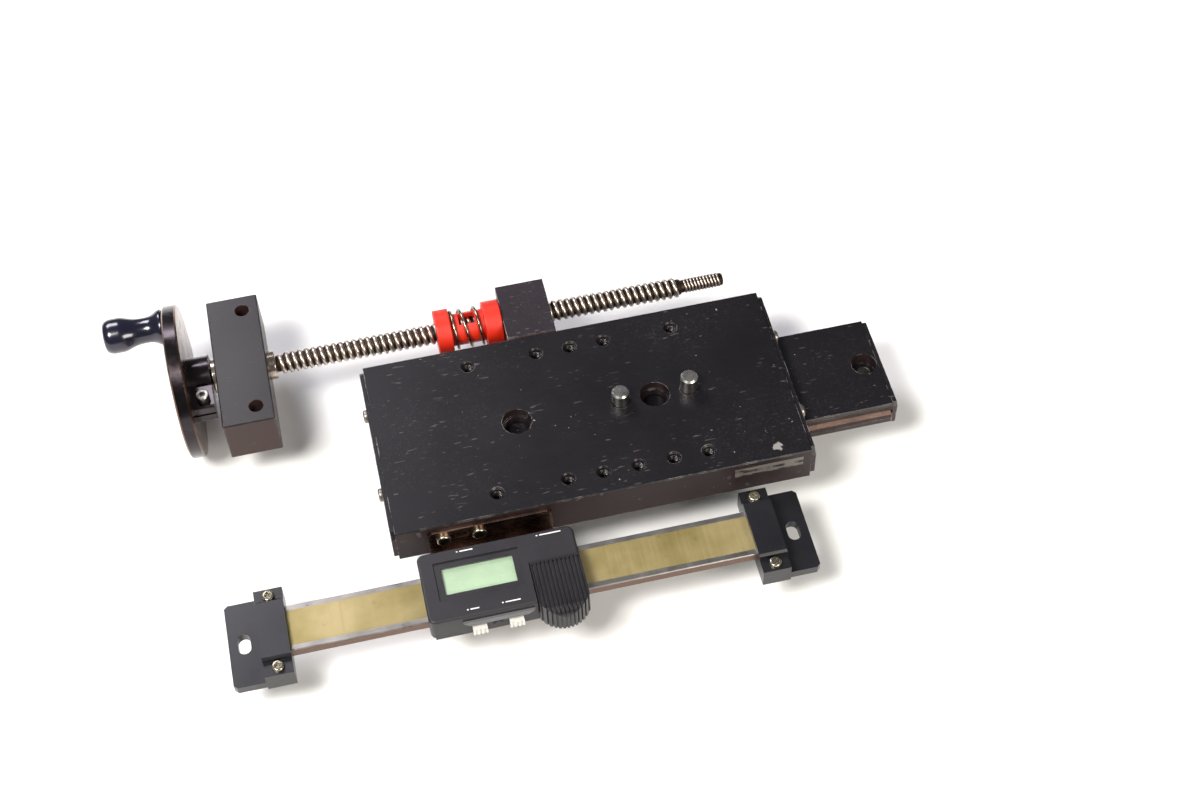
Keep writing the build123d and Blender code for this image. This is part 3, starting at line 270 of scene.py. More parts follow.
class Finish:
    """A node material, with short calls for the nodes that the finishes share."""

    def __init__(self, name, **sockets):
        self.material = bpy.data.materials.new(name)
        self.material.use_nodes = True
        self.nodes = self.material.node_tree.nodes
        self.links = self.material.node_tree.links
        self.shader = self.nodes["Principled BSDF"]
        for socket, value in sockets.items():
            self.set(socket.replace("_", " "), value)
        self.place = self.nodes.new("ShaderNodeTexCoord").outputs["Object"]

    def set(self, socket, value):
        """Sets a constant on the shader, or links a node's output to it."""
        target = self.shader.inputs[socket]
        if isinstance(value, bpy.types.NodeSocket):
            self.links.new(value, target)
        elif isinstance(value, (int, float)):
            target.default_value = value
        else:
            target.default_value = (*value, 1.0)[: len(target.default_value)]

    def stretched(self, scale, turn=0.0):
        """Object coordinates, stretched and turned about Z."""
        node = self.nodes.new("ShaderNodeMapping")
        node.inputs["Scale"].default_value = scale
        node.inputs["Rotation"].default_value = (0, 0, turn)
        self.links.new(self.place, node.inputs["Vector"])
        return node.outputs["Vector"]

    def noise(self, scale, detail=3.0, rough=0.55, vector=None):
        """A noise between 0 and 1."""
        node = self.nodes.new("ShaderNodeTexNoise")
        node.inputs["Scale"].default_value = scale
        node.inputs["Detail"].default_value = detail
        node.inputs["Roughness"].default_value = rough
        self.links.new(vector or self.place, node.inputs["Vector"])
        return node.outputs["Fac"]

    def cells(self, scale):
        """The distance to the nearest of scattered points."""
        node = self.nodes.new("ShaderNodeTexVoronoi")
        node.inputs["Scale"].default_value = scale
        self.links.new(self.place, node.inputs["Vector"])
        return node.outputs["Distance"]

    def ranged(self, value, low, high, to_low=0.0, to_high=1.0):
        """A value mapped from one range to another, and held inside it."""
        node = self.nodes.new("ShaderNodeMapRange")
        for socket, number in zip(node.inputs[1:5], (low, high, to_low, to_high)):
            socket.default_value = number
        self.links.new(value, node.inputs[0])
        return node.outputs[0]

    def maths(self, operation, a, b):
        """Two values put together by an operation."""
        node = self.nodes.new("ShaderNodeMath")
        node.operation = operation
        for socket, value in zip(node.inputs, (a, b)):
            if isinstance(value, bpy.types.NodeSocket):
                self.links.new(value, socket)
            else:
                socket.default_value = value
        return node.outputs[0]

    def blend(self, share, a, b):
        """Two colours mixed by a share."""
        node = self.nodes.new("ShaderNodeMix")
        node.data_type = "RGBA"
        self.links.new(share, node.inputs[0])
        for socket, value in zip((node.inputs[6], node.inputs[7]), (a, b)):
            if isinstance(value, bpy.types.NodeSocket):
                self.links.new(value, socket)
            else:
                socket.default_value = (*value, 1.0)
        return node.outputs[2]

    def facing(self, axis):
        """One part of the face's direction."""
        node = self.nodes.new("ShaderNodeSeparateXYZ")
        self.links.new(self.nodes.new("ShaderNodeNewGeometry").outputs["Normal"], node.inputs[0])
        return node.outputs[axis]

    def along(self, axis):
        """One coordinate of the place."""
        node = self.nodes.new("ShaderNodeSeparateXYZ")
        self.links.new(self.place, node.inputs[0])
        return node.outputs[axis]

    def distance_to(self, point):
        """How far the place is from a point, in metres."""
        node = self.nodes.new("ShaderNodeVectorMath")
        node.operation = "DISTANCE"
        node.inputs[1].default_value = point
        self.links.new(self.place, node.inputs[0])
        return node.outputs["Value"]

    def scratches(self, spread, fineness, turn, sparse):
        """Thin lines in one direction, in scattered places."""
        lines = self.noise(1.0, 1.0, 0.4, self.stretched((spread, fineness, spread), turn))
        lines = self.ranged(lines, 0.69, 0.73)
        patches = self.ranged(self.noise(sparse, 2.0), 0.5, 0.62)
        return self.maths("MULTIPLY", lines, patches)

    def edges(self, radius, low=0.03, high=0.2):
        """Where the surface turns a corner, found from a softened normal."""
        soft = self.nodes.new("ShaderNodeBevel")
        soft.samples = CORNER_SAMPLES
        soft.inputs["Radius"].default_value = radius
        true = self.nodes.new("ShaderNodeNewGeometry")
        dot = self.nodes.new("ShaderNodeVectorMath")
        dot.operation = "DOT_PRODUCT"
        self.links.new(soft.outputs[0], dot.inputs[0])
        self.links.new(true.outputs["Normal"], dot.inputs[1])
        corner = self.maths("SUBTRACT", 1.0, dot.outputs["Value"])
        return self.ranged(corner, low, high)

    def bump(self, height, strength, distance, soft_edge=0.0):
        """Relief from a height, over a normal that may round the edges off."""
        node = self.nodes.new("ShaderNodeBump")
        node.inputs["Strength"].default_value = strength
        node.inputs["Distance"].default_value = distance
        self.links.new(height, node.inputs["Height"])
        if soft_edge:
            soft = self.nodes.new("ShaderNodeBevel")
            soft.samples = CORNER_SAMPLES
            soft.inputs["Radius"].default_value = soft_edge
            self.links.new(soft.outputs[0], node.inputs["Normal"])
        self.links.new(node.outputs[0], self.shader.inputs["Normal"])


def scaled(colour, factor):
    """A colour made lighter or darker."""
    return tuple(min(1.0, c * factor) for c in colour)


def anodised(name, colour, bare, wear=1.0, chip_at=None):
    """Black anodised aluminium: milled grain, short nicks, painted sparkle, rubbed edges, and perhaps a
    chip; upright faces get a painted warm reflection.
    """
    finish = Finish(name, Metallic=0.0, IOR=1.38)
    grain = finish.noise(1.0, 2.0, 0.6, finish.stretched((160.0, 2600.0, 900.0)))
    cloud = finish.noise(38.0, 4.0)
    side = finish.maths("SUBTRACT", 1.0, finish.ranged(finish.facing(Z_AXIS), *TURN))
    base = finish.blend(cloud, scaled(colour, 0.75), scaled(colour, 1.5))
    # Painted reflection: the upright faces are tinted lighter and warmer, in place of the warm light they
    # reflect.
    painted_warm_reflection = tuple(min(1.0, c * f) for c, f in zip(colour, REFLECTED_WARMTH))
    base = finish.blend(finish.maths("MULTIPLY", side, 0.8), base, painted_warm_reflection)
    marks = finish.maths("MAXIMUM", finish.scratches(210.0, 1100.0, 0.5, 70.0),
                         finish.scratches(260.0, 1300.0, -0.9, 90.0))
    marks = finish.maths("MULTIPLY", marks, 0.11 * wear)
    # Painted glints: fine light specks of sparkle in patches, lifted towards the bare metal's colour.
    sparkle = finish.ranged(finish.noise(1900.0, 2.0), 0.58, 0.72)
    sparkle = finish.maths("MULTIPLY", sparkle, finish.ranged(finish.noise(26.0, 2.0), 0.40, 0.66))
    specks = finish.ranged(finish.noise(620.0, 2.0), 0.72, 0.76)
    specks = finish.maths("MULTIPLY", specks, finish.ranged(finish.noise(48.0, 2.0), 0.52, 0.60))
    rubbed = finish.maths("MULTIPLY", finish.edges(0.4 * MM),
                          finish.ranged(finish.noise(190.0, 3.0), 0.50, 0.62))
    worn = finish.maths("MAXIMUM", marks, finish.maths("MULTIPLY", rubbed, 0.80 * wear))
    worn = finish.maths("MAXIMUM", worn, finish.maths("MULTIPLY", specks, 0.55 * wear))
    # From here on, worn holds real wear and the painted glints of the sparkle.
    worn = finish.maths("MAXIMUM", worn, finish.maths("MULTIPLY", sparkle, 0.045 * wear))
    if chip_at is not None:
        uneven = finish.ranged(finish.noise(700.0), 0.3, 0.7, -CHIP_RAGGEDNESS, CHIP_RAGGEDNESS)
        ragged = finish.maths("ADD", finish.distance_to(chip_at), uneven)
        chip = finish.ranged(ragged, *CHIP_RADII, 0.0, 0.45)
        worn = finish.maths("MAXIMUM", worn, chip)
    finish.set("Base Color", finish.blend(worn, base, bare))
    finish.set("Roughness", finish.ranged(finish.maths("ADD", cloud, grain), 0.6, 1.4, 0.30, 0.42))
    finish.bump(grain, 0.12, 0.03 * MM, soft_edge=0.25 * MM)
    return finish.material


def metal(name, colour, roughness, grain=(500.0, 2500.0, 500.0), stain=0.35, coat=0.0, side=None,
          side_axis=Z_AXIS):
    """Bare or plated metal: a directional grain, cloudy staining, and another colour on some sides.

    The other colour lies on the faces across X, or on those that don't face along Z.
    """
    finish = Finish(name, Metallic=1.0, Coat_Weight=coat, Coat_Roughness=0.1)
    lines = finish.noise(1.0, 3.0, 0.6, finish.stretched(grain))
    cloud = finish.noise(120.0, 4.0)
    dull = scaled(colour, 1.0 - stain)
    base = finish.blend(finish.ranged(cloud, 0.35, 0.65), dull, colour)
    if side is not None:
        share = finish.ranged(finish.maths("ABSOLUTE", finish.facing(side_axis), 0.0), *TURN)
        base = finish.blend(share, *((base, side) if side_axis == X_AXIS else (side, base)))
    finish.set("Base Color", base)
    both = finish.maths("ADD", lines, cloud)
    finish.set("Roughness", finish.ranged(both, 0.6, 1.4, roughness * 0.7, roughness * 1.35))
    finish.bump(lines, 0.18, 0.02 * MM, soft_edge=0.12 * MM)
    return finish.material


def thread_steel(name, colour, groove_shade):
    """Rolled thread: bright crests, and painted shade in the grooves, by the ridge's own height."""
    finish = Finish(name, Metallic=1.0)
    ridge = finish.nodes.new("ShaderNodeAttribute")
    ridge.attribute_name = CREST
    height = finish.ranged(ridge.outputs["Fac"], 0.15, 0.80)
    grime = finish.noise(420.0, 4.0)
    # Painted shade: the colour darkens from the crests down to the roots, in place of the shade in the
    # grooves; the grime noise varies it.
    bright = finish.maths("MULTIPLY", height, finish.ranged(grime, 0.25, 0.6, 0.6, 1.0))
    finish.set("Base Color", finish.blend(bright, groove_shade, colour))
    finish.set("Roughness", finish.ranged(bright, 0.0, 1.0, 0.5, 0.32))
    finish.bump(grime, 0.12, 0.03 * MM)
    return finish.material


def plastic(name, colour, roughness, texture, relief=0.2, coat=0.0, spread=0.18, dusting=0.2):
    """Moulded plastic: a fine spark texture, slight shading, and dust in places."""
    finish = Finish(name, Coat_Weight=coat, Coat_Roughness=0.08, IOR=1.5)
    cloud = finish.noise(70.0, 4.0)
    dust = finish.maths("MULTIPLY", finish.ranged(finish.noise(1500.0, 2.0), 0.66, 0.74),
                        finish.ranged(finish.noise(80.0), 0.5, 0.65))
    base = finish.blend(cloud, scaled(colour, 1 - spread), scaled(colour, 1 + spread))
    dusty = tuple(0.6 * c + 0.14 for c in colour)
    finish.set("Base Color", finish.blend(finish.maths("MULTIPLY", dust, dusting), base, dusty))
    finish.set("Roughness", finish.ranged(cloud, 0.3, 0.7, roughness * 0.85, roughness * 1.2))
    finish.bump(finish.cells(texture), relief, 0.05 * MM, soft_edge=0.15 * MM)
    return finish.material


def scale_gold(name, colour):
    """The scale's strip: satin gold with faint lines across it and darker stains."""
    finish = Finish(name, Metallic=0.45, Coat_Weight=0.15, Coat_Roughness=0.25)
    lines = finish.noise(1.0, 1.0, 0.5, finish.stretched((1800.0, 25.0, 25.0)))
    cloud = finish.noise(45.0, 5.0)
    stain = finish.ranged(finish.noise(260.0, 3.0), 0.62, 0.75)
    base = finish.blend(finish.ranged(cloud, 0.35, 0.65), scaled(colour, 0.80),
                        tuple(c * f for c, f in zip(colour, (1.22, 1.25, 1.7))))
    finish.set("Base Color", finish.blend(finish.maths("MULTIPLY", stain, 0.35), base,
                                          scaled(colour, 0.45)))
    finish.set("Roughness", finish.ranged(lines, 0.3, 0.7, 0.30, 0.46))
    finish.bump(lines, 0.08, 0.02 * MM)
    return finish.material


def display_green(name, colour, low, high):
    """The display: pale green, a little darker towards its upper edge."""
    finish = Finish(name, Roughness=0.35)
    shade = finish.ranged(finish.along(Y_AXIS), low[Y_AXIS], high[Y_AXIS])
    haze = finish.noise(220.0, 3.0)
    mixed = finish.maths("ADD", finish.maths("MULTIPLY", shade, 0.6), finish.maths("MULTIPLY", haze, 0.4))
    finish.set("Base Color", finish.blend(mixed, scaled(colour, 1.12), scaled(colour, 0.82)))
    finish.bump(haze, 0.05, 0.02 * MM)
    return finish.material


def window_clear(name, tint):
    """The clear window, mostly see-through, with a few fine smears."""
    finish = Finish(name, IOR=1.46, Base_Color=tint)
    smear = finish.noise(180.0, 4.0)
    finish.set("Alpha", finish.ranged(smear, 0.35, 0.75, 0.05, 0.14))
    finish.set("Roughness", finish.ranged(smear, 0.45, 0.75, 0.04, 0.14))
    finish.bump(smear, 0.03, 0.02 * MM)
    return finish.material


def circuit_green(name, board, track):
    """Solder-masked board with a track pattern."""
    finish = Finish(name, Coat_Weight=0.4, Coat_Roughness=0.15, Roughness=0.4)
    tracks = finish.ranged(finish.cells(900.0), 0.28, 0.32)
    finish.set("Base Color", finish.blend(tracks, track, board))
    finish.bump(tracks, 0.2, 0.03 * MM)
    return finish.material


def paint(material, *nodes):
    """Gives CAD nodes one material, on every slot of each."""
    for node in nodes:
        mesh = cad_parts[node].data
        mesh.materials.clear()
        mesh.materials.append(material)


def sizes():
    """The added pieces' sizes, as the panel has them."""
    return bpy.context.scene.slide_sizes


def colours():
    """The finishes' colours, as the panel has them."""
    return bpy.context.scene.slide_colours


def colour(name):
    """One colour as a tuple."""
    return tuple(getattr(colours(), name))


def middle(node):
    """The centre of a CAD node's box."""
    low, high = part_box(node)
    return (low + high) / 2


# ---- operators: finishes of the CAD nodes ----

class SLIDE_OT_paint_slide(Operator):
    """Finishes of the base, the carriage and what guides it"""

    bl_idname = "slide.paint_slide"
    bl_label = "Slide finishes"

    def execute(self, context):
        low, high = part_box("carriage_block")
        from_end, from_front = 11.5 * MM, 4.6 * MM
        chip = (high.x - from_end, low.y + from_front, high.z)
        black, bare = colour("anodised"), colour("bare")
        paint(anodised("carriage_black", black, bare, 1.0, chip), "carriage_block")
        paint(anodised("base_black", black, bare, 0.9), "slide_base")
        paint(anodised("end_plate_black", scaled(black, 1.3), bare, 1.3),
              "carriage_end_plate_left", "carriage_end_plate_right",
              "base_end_plate_left", "base_end_plate_right")
        paint(metal("rail_steel", colour("rail"), 0.34, stain=0.55),
              "base_rail_front", "base_rail_back", "carriage_rail_front", "carriage_rail_back",
              "rollers_front", "rollers_back")
        paint(metal("cage_brass", colour("brass"), 0.35), "roller_cage_front", "roller_cage_back")
        paint(metal("plate_screw_steel", colour("plate_screw"), 0.32, stain=0.55),
              "carriage_end_plate_screws", "base_end_plate_screws", "base_rail_screws",
              "carriage_rail_screws", "nut_block_screws")
        paint(metal("pin_steel", colour("pin"), 0.30, grain=(900.0, 900.0, 60.0), stain=0.45),
              "dowel_pins")
        return {"FINISHED"}


class SLIDE_OT_paint_screw(Operator):
    """Finishes of the bearing block, the nut and the handwheel"""

    bl_idname = "slide.paint_screw"
    bl_label = "Screw and wheel finishes"

    def execute(self, context):
        bare = colour("bare")
        paint(anodised("bearing_block_charcoal", colour("block"), bare, 0.35), "bearing_block")
        paint(anodised("nut_block_grey", colour("nut_block"), bare, 1.6), "nut_block")
        paint(metal("bearing_steel", colour("bearing"), 0.16, stain=0.5),
              "bearing_wheel_side", "bearing_nut_side")
        paint(plastic("nut_red", colour("nut"), 0.42, 1400.0, 0.06), "nut_body", "nut_takeup")
        paint(metal("wheel_steel", colour("wheel"), 0.24, grain=(300.0, 900.0, 900.0), stain=0.4,
                    coat=0.2, side=colour("wheel_face"), side_axis=X_AXIS), "handwheel")
        paint(metal("hub_steel", scaled(colour("wheel"), 1.2), 0.22, coat=0.2), "wheel_hub")
        paint(metal("clamp_screw_steel", colour("clamp_screw"), 0.30), "hub_clamp_screw", "knob_axle")
        return {"FINISHED"}


class SLIDE_OT_paint_scale(Operator):
    """Finishes of the scale beam, its brackets and the bent bracket"""

    bl_idname = "slide.paint_scale"
    bl_label = "Scale finishes"

    def execute(self, context):
        paint(metal("beam_steel", colour("beam"), 0.32, grain=(60.0, 2600.0, 2600.0), stain=0.25,
                    side=colour("beam_side")), "scale_beam")
        paint(scale_gold("strip_gold", colour("strip")), "scale_strip")
        paint(plastic("bracket_enamel", colour("enamel"), 0.34, 900.0, 0.10, coat=0.2),
              "scale_bracket_left", "scale_bracket_right", "scale_clamp_left", "scale_clamp_right")
        paint(metal("clamp_cross_screw_steel", colour("cross_screw"), 0.26, stain=0.5),
              "scale_clamp_screws", "bracket_screws")
        paint(metal("bent_bracket_steel", colour("bracket"), 0.28, grain=(90.0, 1500.0, 1500.0),
                    stain=0.55), "head_bracket")
        return {"FINISHED"}


class SLIDE_OT_paint_head(Operator):
    """Finishes of the reading head and what is inside it"""

    bl_idname = "slide.paint_head"
    bl_label = "Reading head finishes"

    def execute(self, context):
        case = colour("case")
        paint(plastic("case_black", case, 0.46, 2600.0, 0.18), "head_case", "head_base")
        paint(plastic("cover_black", scaled(case, 0.8), 0.34, 2600.0, 0.15), "battery_cover")
        paint(window_clear("window_clear", colour("window")), "display_window")
        low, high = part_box("display_panel")
        paint(display_green("display_green", colour("display"), low, high), "display_panel")
        paint(plastic("button_white", colour("button"), 0.4, 1800.0, 0.1, spread=0.06),
              "button_off", "button_on_zero", "button_in_mm", "button_hold")
        paint(plastic("ledge_grey", colour("ledge"), 0.45, 2200.0), "button_ledge")
        paint(plastic("rubber_black", colour("rubber"), 0.6, 2200.0),
              "data_port_cap", "display_connectors")
        paint(circuit_green("board_green", colour("board"), colour("track")), "circuit_board")
        paint(metal("contact_brass", colour("contact"), 0.28), "cell_contacts")
        paint(metal("cell_steel", colour("cell"), 0.2, grain=(900.0, 900.0, 900.0)), "button_cell")
        return {"FINISHED"}


# ---- operators: added pieces ----

THREAD_SECTION = ((-0.45, -0.08), (-0.27, 0.60), (-0.17, 0.95), (0.0, 1.0), (0.17, 0.95), (0.27, 0.60),
                  (0.45, -0.08))
CREST = "crest"


class SLIDE_OT_lead_screw(Operator):
    """The lead screw with its helical thread, in place of its plain rod"""

    bl_idname = "slide.lead_screw"
    bl_label = "Lead screw"

    def execute(self, context):
        s = sizes()
        low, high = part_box("lead_screw")
        centre = middle("handwheel")
        crest = (high.y - low.y) / 2
        root = crest - s.thread_depth
        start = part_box("bearing_nut_side")[1].x
        tail, tail_crest, tail_depth = 16.4 * MM, 2.75 * MM, 0.35 * MM
        journal_radius, end_chamfer = 3.0 * MM, 0.5 * MM
        overlap, core_chamfer, shoulder, neck = 0.2 * MM, 0.3 * MM, 0.4 * MM, 0.3 * MM
        hairline, tail_clear = 0.01 * MM, 0.6 * MM
        end = high.x - tail
        tail_root = tail_crest - tail_depth
        journal = turned_surface(
            [(low.x, journal_radius - end_chamfer), (low.x + end_chamfer, journal_radius),
             (start - overlap, journal_radius), (start, journal_radius - hairline)], centre, 48)
        core = turned_surface(
            [(start, root - core_chamfer), (start + core_chamfer, root), (end - shoulder, root),
             (end, root - shoulder)], centre, 48)
        tip = turned_surface(
            [(end - end_chamfer, tail_crest - neck), (end + overlap, tail_crest - neck),
             (end + end_chamfer, tail_root), (high.x - end_chamfer, tail_root),
             (high.x, tail_root - end_chamfer)], centre, 40)
        turns = (end - start) / s.thread_lead - 1.0
        ridge = helical_ridge(start + 0.5 * s.thread_lead, turns, s.thread_lead, root, crest,
                              THREAD_SECTION, centre, X_AXIS)
        fine_lead = s.thread_lead / 2
        fine_start = end + tail_clear + 0.5 * fine_lead
        fine_turns = (tail - 2 * tail_clear) / fine_lead - 1.0
        fine = helical_ridge(fine_start, fine_turns, fine_lead, tail_root, tail_crest,
                             THREAD_SECTION, centre, X_AXIS, 32)
        piece = make_piece("lead_screw_thread", *joined([journal, core, tip, ridge, fine]),
                           "lead_screw", "thread_steel")
        recalculated(piece)
        heights = np.array([height for _, height in THREAD_SECTION])
        polish = 0.8
        # The journal is painted as a bright crest; the core and the tip take the grooves' painted shade.
        shares = [np.full(len(journal[0]), polish), np.zeros(len(core[0]) + len(tip[0]))]
        shares += [np.tile(heights, len(part[0]) // len(heights)) for part in (ridge, fine)]
        layer = piece.data.attributes.new(CREST, "FLOAT", "POINT")
        layer.data.foreach_set("value", np.concatenate(shares))
        piece.data.materials.append(thread_steel("thread_steel", colour("thread"), colour("groove_shade")))
        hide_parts("lead_screw")
        return {"FINISHED"}


class SLIDE_OT_nut_spring(Operator):
    """The wire spring between the nut's collars, with its end turns drawn together

    At a share t of the wire, the angle is t of all the turns, and the place along X is t less a sine of one
    full wave, so that the wire starts and ends slowly.
    """

    bl_idname = "slide.nut_spring"
    bl_label = "Nut spring"

    def execute(self, context):
        s = sizes()
        centre = middle("handwheel")
        collar = 6.8 * MM
        start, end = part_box("nut_takeup")[1].x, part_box("nut_block")[0].x - collar
        low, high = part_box("nut_spring")
        radius = (high.z - low.z) / 2 - s.spring_wire / 2
        t = np.linspace(0.0, 1.0, 60 * s.spring_turns)
        closing, clear = 0.6, 0.05 * MM
        eased = t - closing * np.sin(2 * math.pi * t) / (2 * math.pi)
        room = s.spring_wire / 2 + clear
        angle = 2 * math.pi * s.spring_turns * t
        path = np.stack([start + room + (end - start - 2 * room) * eased,
                         centre.y + radius * np.cos(angle), centre.z + radius * np.sin(angle)], 1)
        piece = make_piece("nut_spring_wire", *wire(path, s.spring_wire / 2), "carriage", "spring_wire")
        recalculated(piece)
        piece.data.materials.append(metal("spring_wire", colour("spring"), 0.24, stain=0.5))
        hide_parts("nut_spring")
        return {"FINISHED"}


class SLIDE_OT_crank_knob(Operator):
    """The turned grip of the handwheel, smooth from foot to end

    At a share t of its length the outer radius is the neck's, plus a bell curve at the foot and half a bell
    curve that rises to full width, and it is drawn in by a quarter of an ellipse at the end.
    """

    bl_idname = "slide.crank_knob"
    bl_label = "Crank knob"

    def execute(self, context):
        low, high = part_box("crank_knob")
        centre = middle("crank_knob")
        foot, length = high.x, high.x - low.x
        bore, recess, recess_depth, lip = 2.25 * MM, 3.7 * MM, 2.4 * MM, 0.5 * MM
        foot_radius, neck, full = 6.7 * MM, 4.7 * MM, 6.45 * MM
        foot_at, foot_spread, swell_at, swell_spread = 0.04, 0.13, 0.74, 0.19
        foot_edge, foot_rise, round_at, round_length = 0.75, 9.0, 0.86, 0.15
        segments = 72
        t = np.linspace(0.0, 1.0, 60)
        flare = neck + (foot_radius - neck) * np.exp(-((t - foot_at) / foot_spread) ** 2)
        swell = (full - neck) * np.exp(-(np.clip(swell_at - t, 0, None) / swell_spread) ** 2)
        foot_limit = foot_radius * np.sqrt(np.clip(foot_edge + t * foot_rise, 0.0, 1.0))
        radius = np.minimum(flare + swell, foot_limit)
        rounding = np.sqrt(np.clip(1.0 - (np.clip(t - round_at, 0, None) / round_length) ** 2, 0.0, 1.0))
        radius = recess + lip + (radius - recess - lip) * rounding
        outer = list(zip(foot - length * t, radius))
        inner = [(low.x, recess), (low.x + recess_depth, recess), (low.x + recess_depth, bore), (foot, bore)]
        profile = outer + inner + [outer[0]]
        points, _ = turned_surface(profile, centre, segments)
        faces = ring_faces(len(profile), segments)[:-2]
        piece = make_piece("crank_knob_grip", points, faces, "knob", "knob_gloss")
        recalculated(piece, SEAM)
        piece.data.materials.append(
            plastic("knob_gloss", colour("knob"), 0.21, 1200.0, 0.01, coat=0.35, spread=0.1, dusting=0.0))
        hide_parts("crank_knob")
        return {"FINISHED"}


def tapped_places():
    """The X and Y places of the carriage's tapped holes, from its box and the holes' grid."""
    low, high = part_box("carriage_block")
    grid, row, shift = 12.7 * MM, 28.575 * MM, 1.15 * MM
    x = (low.x + high.x) / 2 + shift
    rows = ((row, (-3, -1, 0, 1, 3)), (-row, (-3, -1, 0, 1, 2, 3)))
    return [(x + step * grid, y) for y, steps in rows for step in steps]


class SLIDE_OT_tapped_threads(Operator):
    """The threads that show inside the carriage's tapped holes"""

    bl_idname = "slide.tapped_threads"
    bl_label = "Tapped hole threads"

    def execute(self, context):
        s = sizes()
        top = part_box("carriage_block")[1].z
        mouth_gap = 0.75 * MM
        bottom, mouth = top - s.tap_hole + s.tap_lead, top - mouth_gap
        turns = (mouth - bottom) / s.tap_lead - 0.5
        parts = [
            helical_ridge(bottom, turns, s.tap_lead, s.tap_radius, s.tap_radius - s.tap_depth,
                          THREAD_SECTION, (x, y, 0.0), Z_AXIS, 28)
            for x, y in tapped_places()
        ]
        piece = make_piece("tapped_hole_threads", *joined(parts), "carriage", "black_anodised")
        recalculated(piece)
        piece.data.materials.append(metal("tapped_thread_grey", colour("tapped"), 0.34))
        return {"FINISHED"}


class SLIDE_OT_head_marks(Operator):
    """Plain printed marks on the reading head, in place of words"""

    bl_idname = "slide.head_marks"
    bl_label = "Reading head marks"

    def execute(self, context):
        low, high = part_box("head_case")
        z0, z1 = high.z - SUNK, high.z + sizes().mark_height
        thin, dot, gap = 0.45 * MM, 0.54 * MM, 0.648 * MM

        def mark(x, y, length):
            """A short stroke with a dot before it, and a gap between them."""
            return [bar((x, y, z0), (x + length, y + thin, z1)),
                    bar((x - gap - dot, y, z0), (x - gap, y + thin, z1))]

        back, front = high.y - 2.0 * MM, low.y + 2.4 * MM
        places = ((15.0, back, 4.6), (43.0, back, 7.5), (14.6, front, 3.0), (26.6, front, 5.2))
        parts = sum((mark(low.x + x * MM, y, length * MM) for x, y, length in places), [])
        piece = make_piece("head_marks", *joined(parts), "carriage", "button_white", smooth=False)
        piece.data.materials.append(
            plastic("print_white", colour("print_white"), 0.5, 3000.0, 0.05, spread=0.05))
        return {"FINISHED"}


class SLIDE_OT_side_label(Operator):
    """A plain worn label with ruled lines on the carriage's front face"""

    bl_idname = "slide.side_label"
    bl_label = "Side label"

    def execute(self, context):
        low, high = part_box("carriage_block")
        face = low.y
        thick = 2.0 * sizes().mark_height
        x1, z1 = high.x - 3.0 * MM, high.z - 2.6 * MM
        length, height, relief = 25.0 * MM, 4.6 * MM, 0.035 * MM
        plate = bar((x1 - length, face - thick, z1 - height), (x1, face + SUNK, z1))
        piece = make_piece("side_label", *plate, "carriage", "button_white", smooth=False)
        finish = Finish("label_silver", Metallic=0.3)
        rubbed = finish.ranged(finish.noise(260.0, 4.0), 0.42, 0.6)
        lines = finish.ranged(finish.noise(1.0, 0.0, 0.5, finish.stretched((40.0, 40.0, 900.0))), 0.45, 0.55)
        ink = finish.maths("MULTIPLY", rubbed, lines)
        finish.set("Base Color", finish.blend(ink, colour("label"), colour("label_ink")))
        finish.set("Roughness", finish.ranged(rubbed, 0.0, 1.0, 0.35, 0.55))
        finish.bump(rubbed, 0.1, relief)
        piece.data.materials.append(finish.material)
        return {"FINISHED"}


# ---- stage ----

def soft_light(name, place, aim, size, power, tint):
    """A square soft light that faces a point."""
    data = bpy.data.lights.new(name, "AREA")
    data.size, data.energy, data.color = size, power, tint
    lamp = bpy.data.objects.new(name, data)
    bpy.context.scene.collection.objects.link(lamp)
    lamp.matrix_world = Matrix.Translation(place) @ (
        (Vector(aim) - Vector(place)).to_track_quat("-Z", "Y").to_matrix().to_4x4())


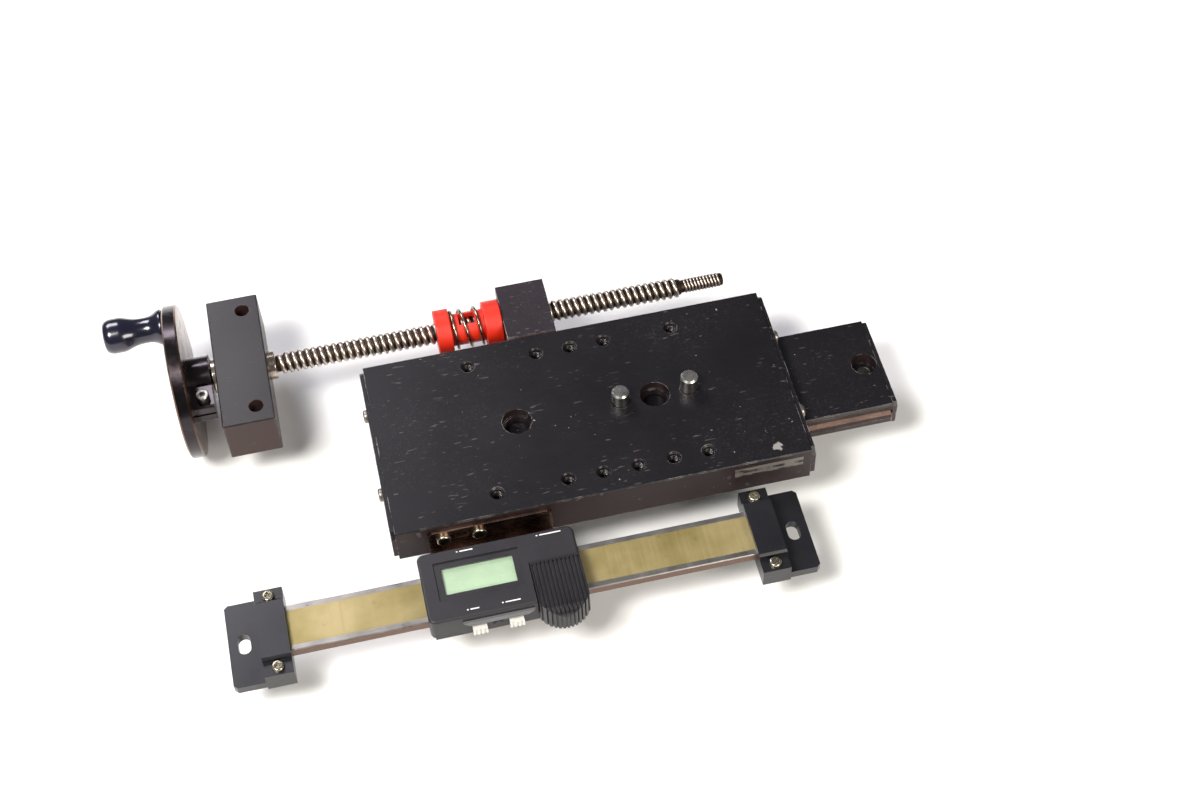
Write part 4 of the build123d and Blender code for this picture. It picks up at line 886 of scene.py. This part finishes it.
class SLIDE_OT_studio(Operator):
    """A pale floor, soft lights and the camera"""

    bl_idname = "slide.studio"
    bl_label = "Studio"

    def execute(self, context):
        scene = context.scene
        low = np.array(CAD_BOX).min(0)
        clear = 0.1 * MM
        floor_z = float(low[Z_AXIS]) - clear
        reach = 4.0
        mesh = bpy.data.meshes.new("studio_floor")
        mesh.from_pydata([(-reach, -reach, floor_z), (reach, -reach, floor_z), (reach, reach, floor_z),
                          (-reach, reach, floor_z)], [], [(0, 1, 2, 3)])
        floor = bpy.data.objects.new("studio_floor", mesh)
        scene.collection.objects.link(floor)
        finish = Finish("studio_floor", Roughness=0.9)
        grain = finish.noise(30.0, 2.0)
        finish.set("Base Color", finish.blend(grain, (0.84, 0.84, 0.83), (0.88, 0.88, 0.87)))
        mesh.materials.append(finish.material)

        world = bpy.data.worlds.new("studio_world")
        scene.world = world
        world.use_nodes = True
        world.node_tree.nodes["Background"].inputs["Color"].default_value = (0.95, 0.97, 1.0, 1.0)
        world.node_tree.nodes["Background"].inputs["Strength"].default_value = 0.24
        aim = (-0.06, 0.0, 0.01)
        soft_light("key_light", (-0.55, -0.35, 0.95), aim, 0.35, 15.0, (1.0, 0.97, 0.93))
        soft_light("top_light", (-0.45, 0.70, 0.75), aim, 0.40, 7.5, (0.95, 0.92, 1.0))
        soft_light("front_light", (0.45, -0.80, 0.60), aim, 0.40, 8.0, (1.0, 0.94, 0.86))

        heading, dip, roll = math.radians(10.72), math.radians(53.64), math.radians(-2.51)
        level = math.cos(dip)
        sight = Vector((math.sin(heading) * level, math.cos(heading) * level, -math.sin(dip)))
        right = sight.cross(Vector((0, 0, 1))).normalized()
        up = right.cross(sight)
        right, up = (math.cos(roll) * right + math.sin(roll) * up,
                     math.cos(roll) * up - math.sin(roll) * right)
        lens = bpy.data.cameras.new("studio_camera")
        lens.sensor_width = 36.0
        lens.lens = 58.4
        lens.clip_start = 0.01
        camera = bpy.data.objects.new("studio_camera", lens)
        scene.collection.objects.link(camera)
        pose = Matrix((right, up, -sight)).transposed().to_4x4()
        place = (-0.1069, -0.4067, 0.5834)
        camera.matrix_world = Matrix.Translation(place) @ pose
        scene.camera = camera
        scene.view_settings.view_transform = "Standard"
        return {"FINISHED"}


STEPS = (
    SLIDE_OT_studio,
    SLIDE_OT_paint_slide,
    SLIDE_OT_paint_screw,
    SLIDE_OT_paint_scale,
    SLIDE_OT_paint_head,
    SLIDE_OT_lead_screw,
    SLIDE_OT_nut_spring,
    SLIDE_OT_crank_knob,
    SLIDE_OT_tapped_threads,
    SLIDE_OT_head_marks,
    SLIDE_OT_side_label,
)


class SLIDE_PT_panel(Panel):
    """The slide's pieces, sizes and colours"""

    bl_idname = "SLIDE_PT_panel"
    bl_label = "Lead-screw slide"
    bl_space_type = "VIEW_3D"
    bl_region_type = "UI"
    bl_category = "Slide"

    def draw(self, context):
        for step in STEPS:
            self.layout.operator(step.bl_idname)
        for group in (sizes(), colours()):
            for name in group.__annotations__:
                self.layout.prop(group, name)


CLASSES = (SlideSizes, SlideColours, *STEPS, SLIDE_PT_panel)


def register():
    """Adds the classes and the two property groups."""
    for item in CLASSES:
        bpy.utils.register_class(item)
    bpy.types.Scene.slide_sizes = PointerProperty(type=SlideSizes)
    bpy.types.Scene.slide_colours = PointerProperty(type=SlideColours)


def unregister():
    """Takes them away again."""
    del bpy.types.Scene.slide_colours
    del bpy.types.Scene.slide_sizes
    for item in reversed(CLASSES):
        bpy.utils.unregister_class(item)


def main():
    """Makes every piece in order."""
    register()
    for step in STEPS:
        group, name = step.bl_idname.split(".")
        getattr(getattr(bpy.ops, group), name)()


if __name__ == "__main__":
    main()
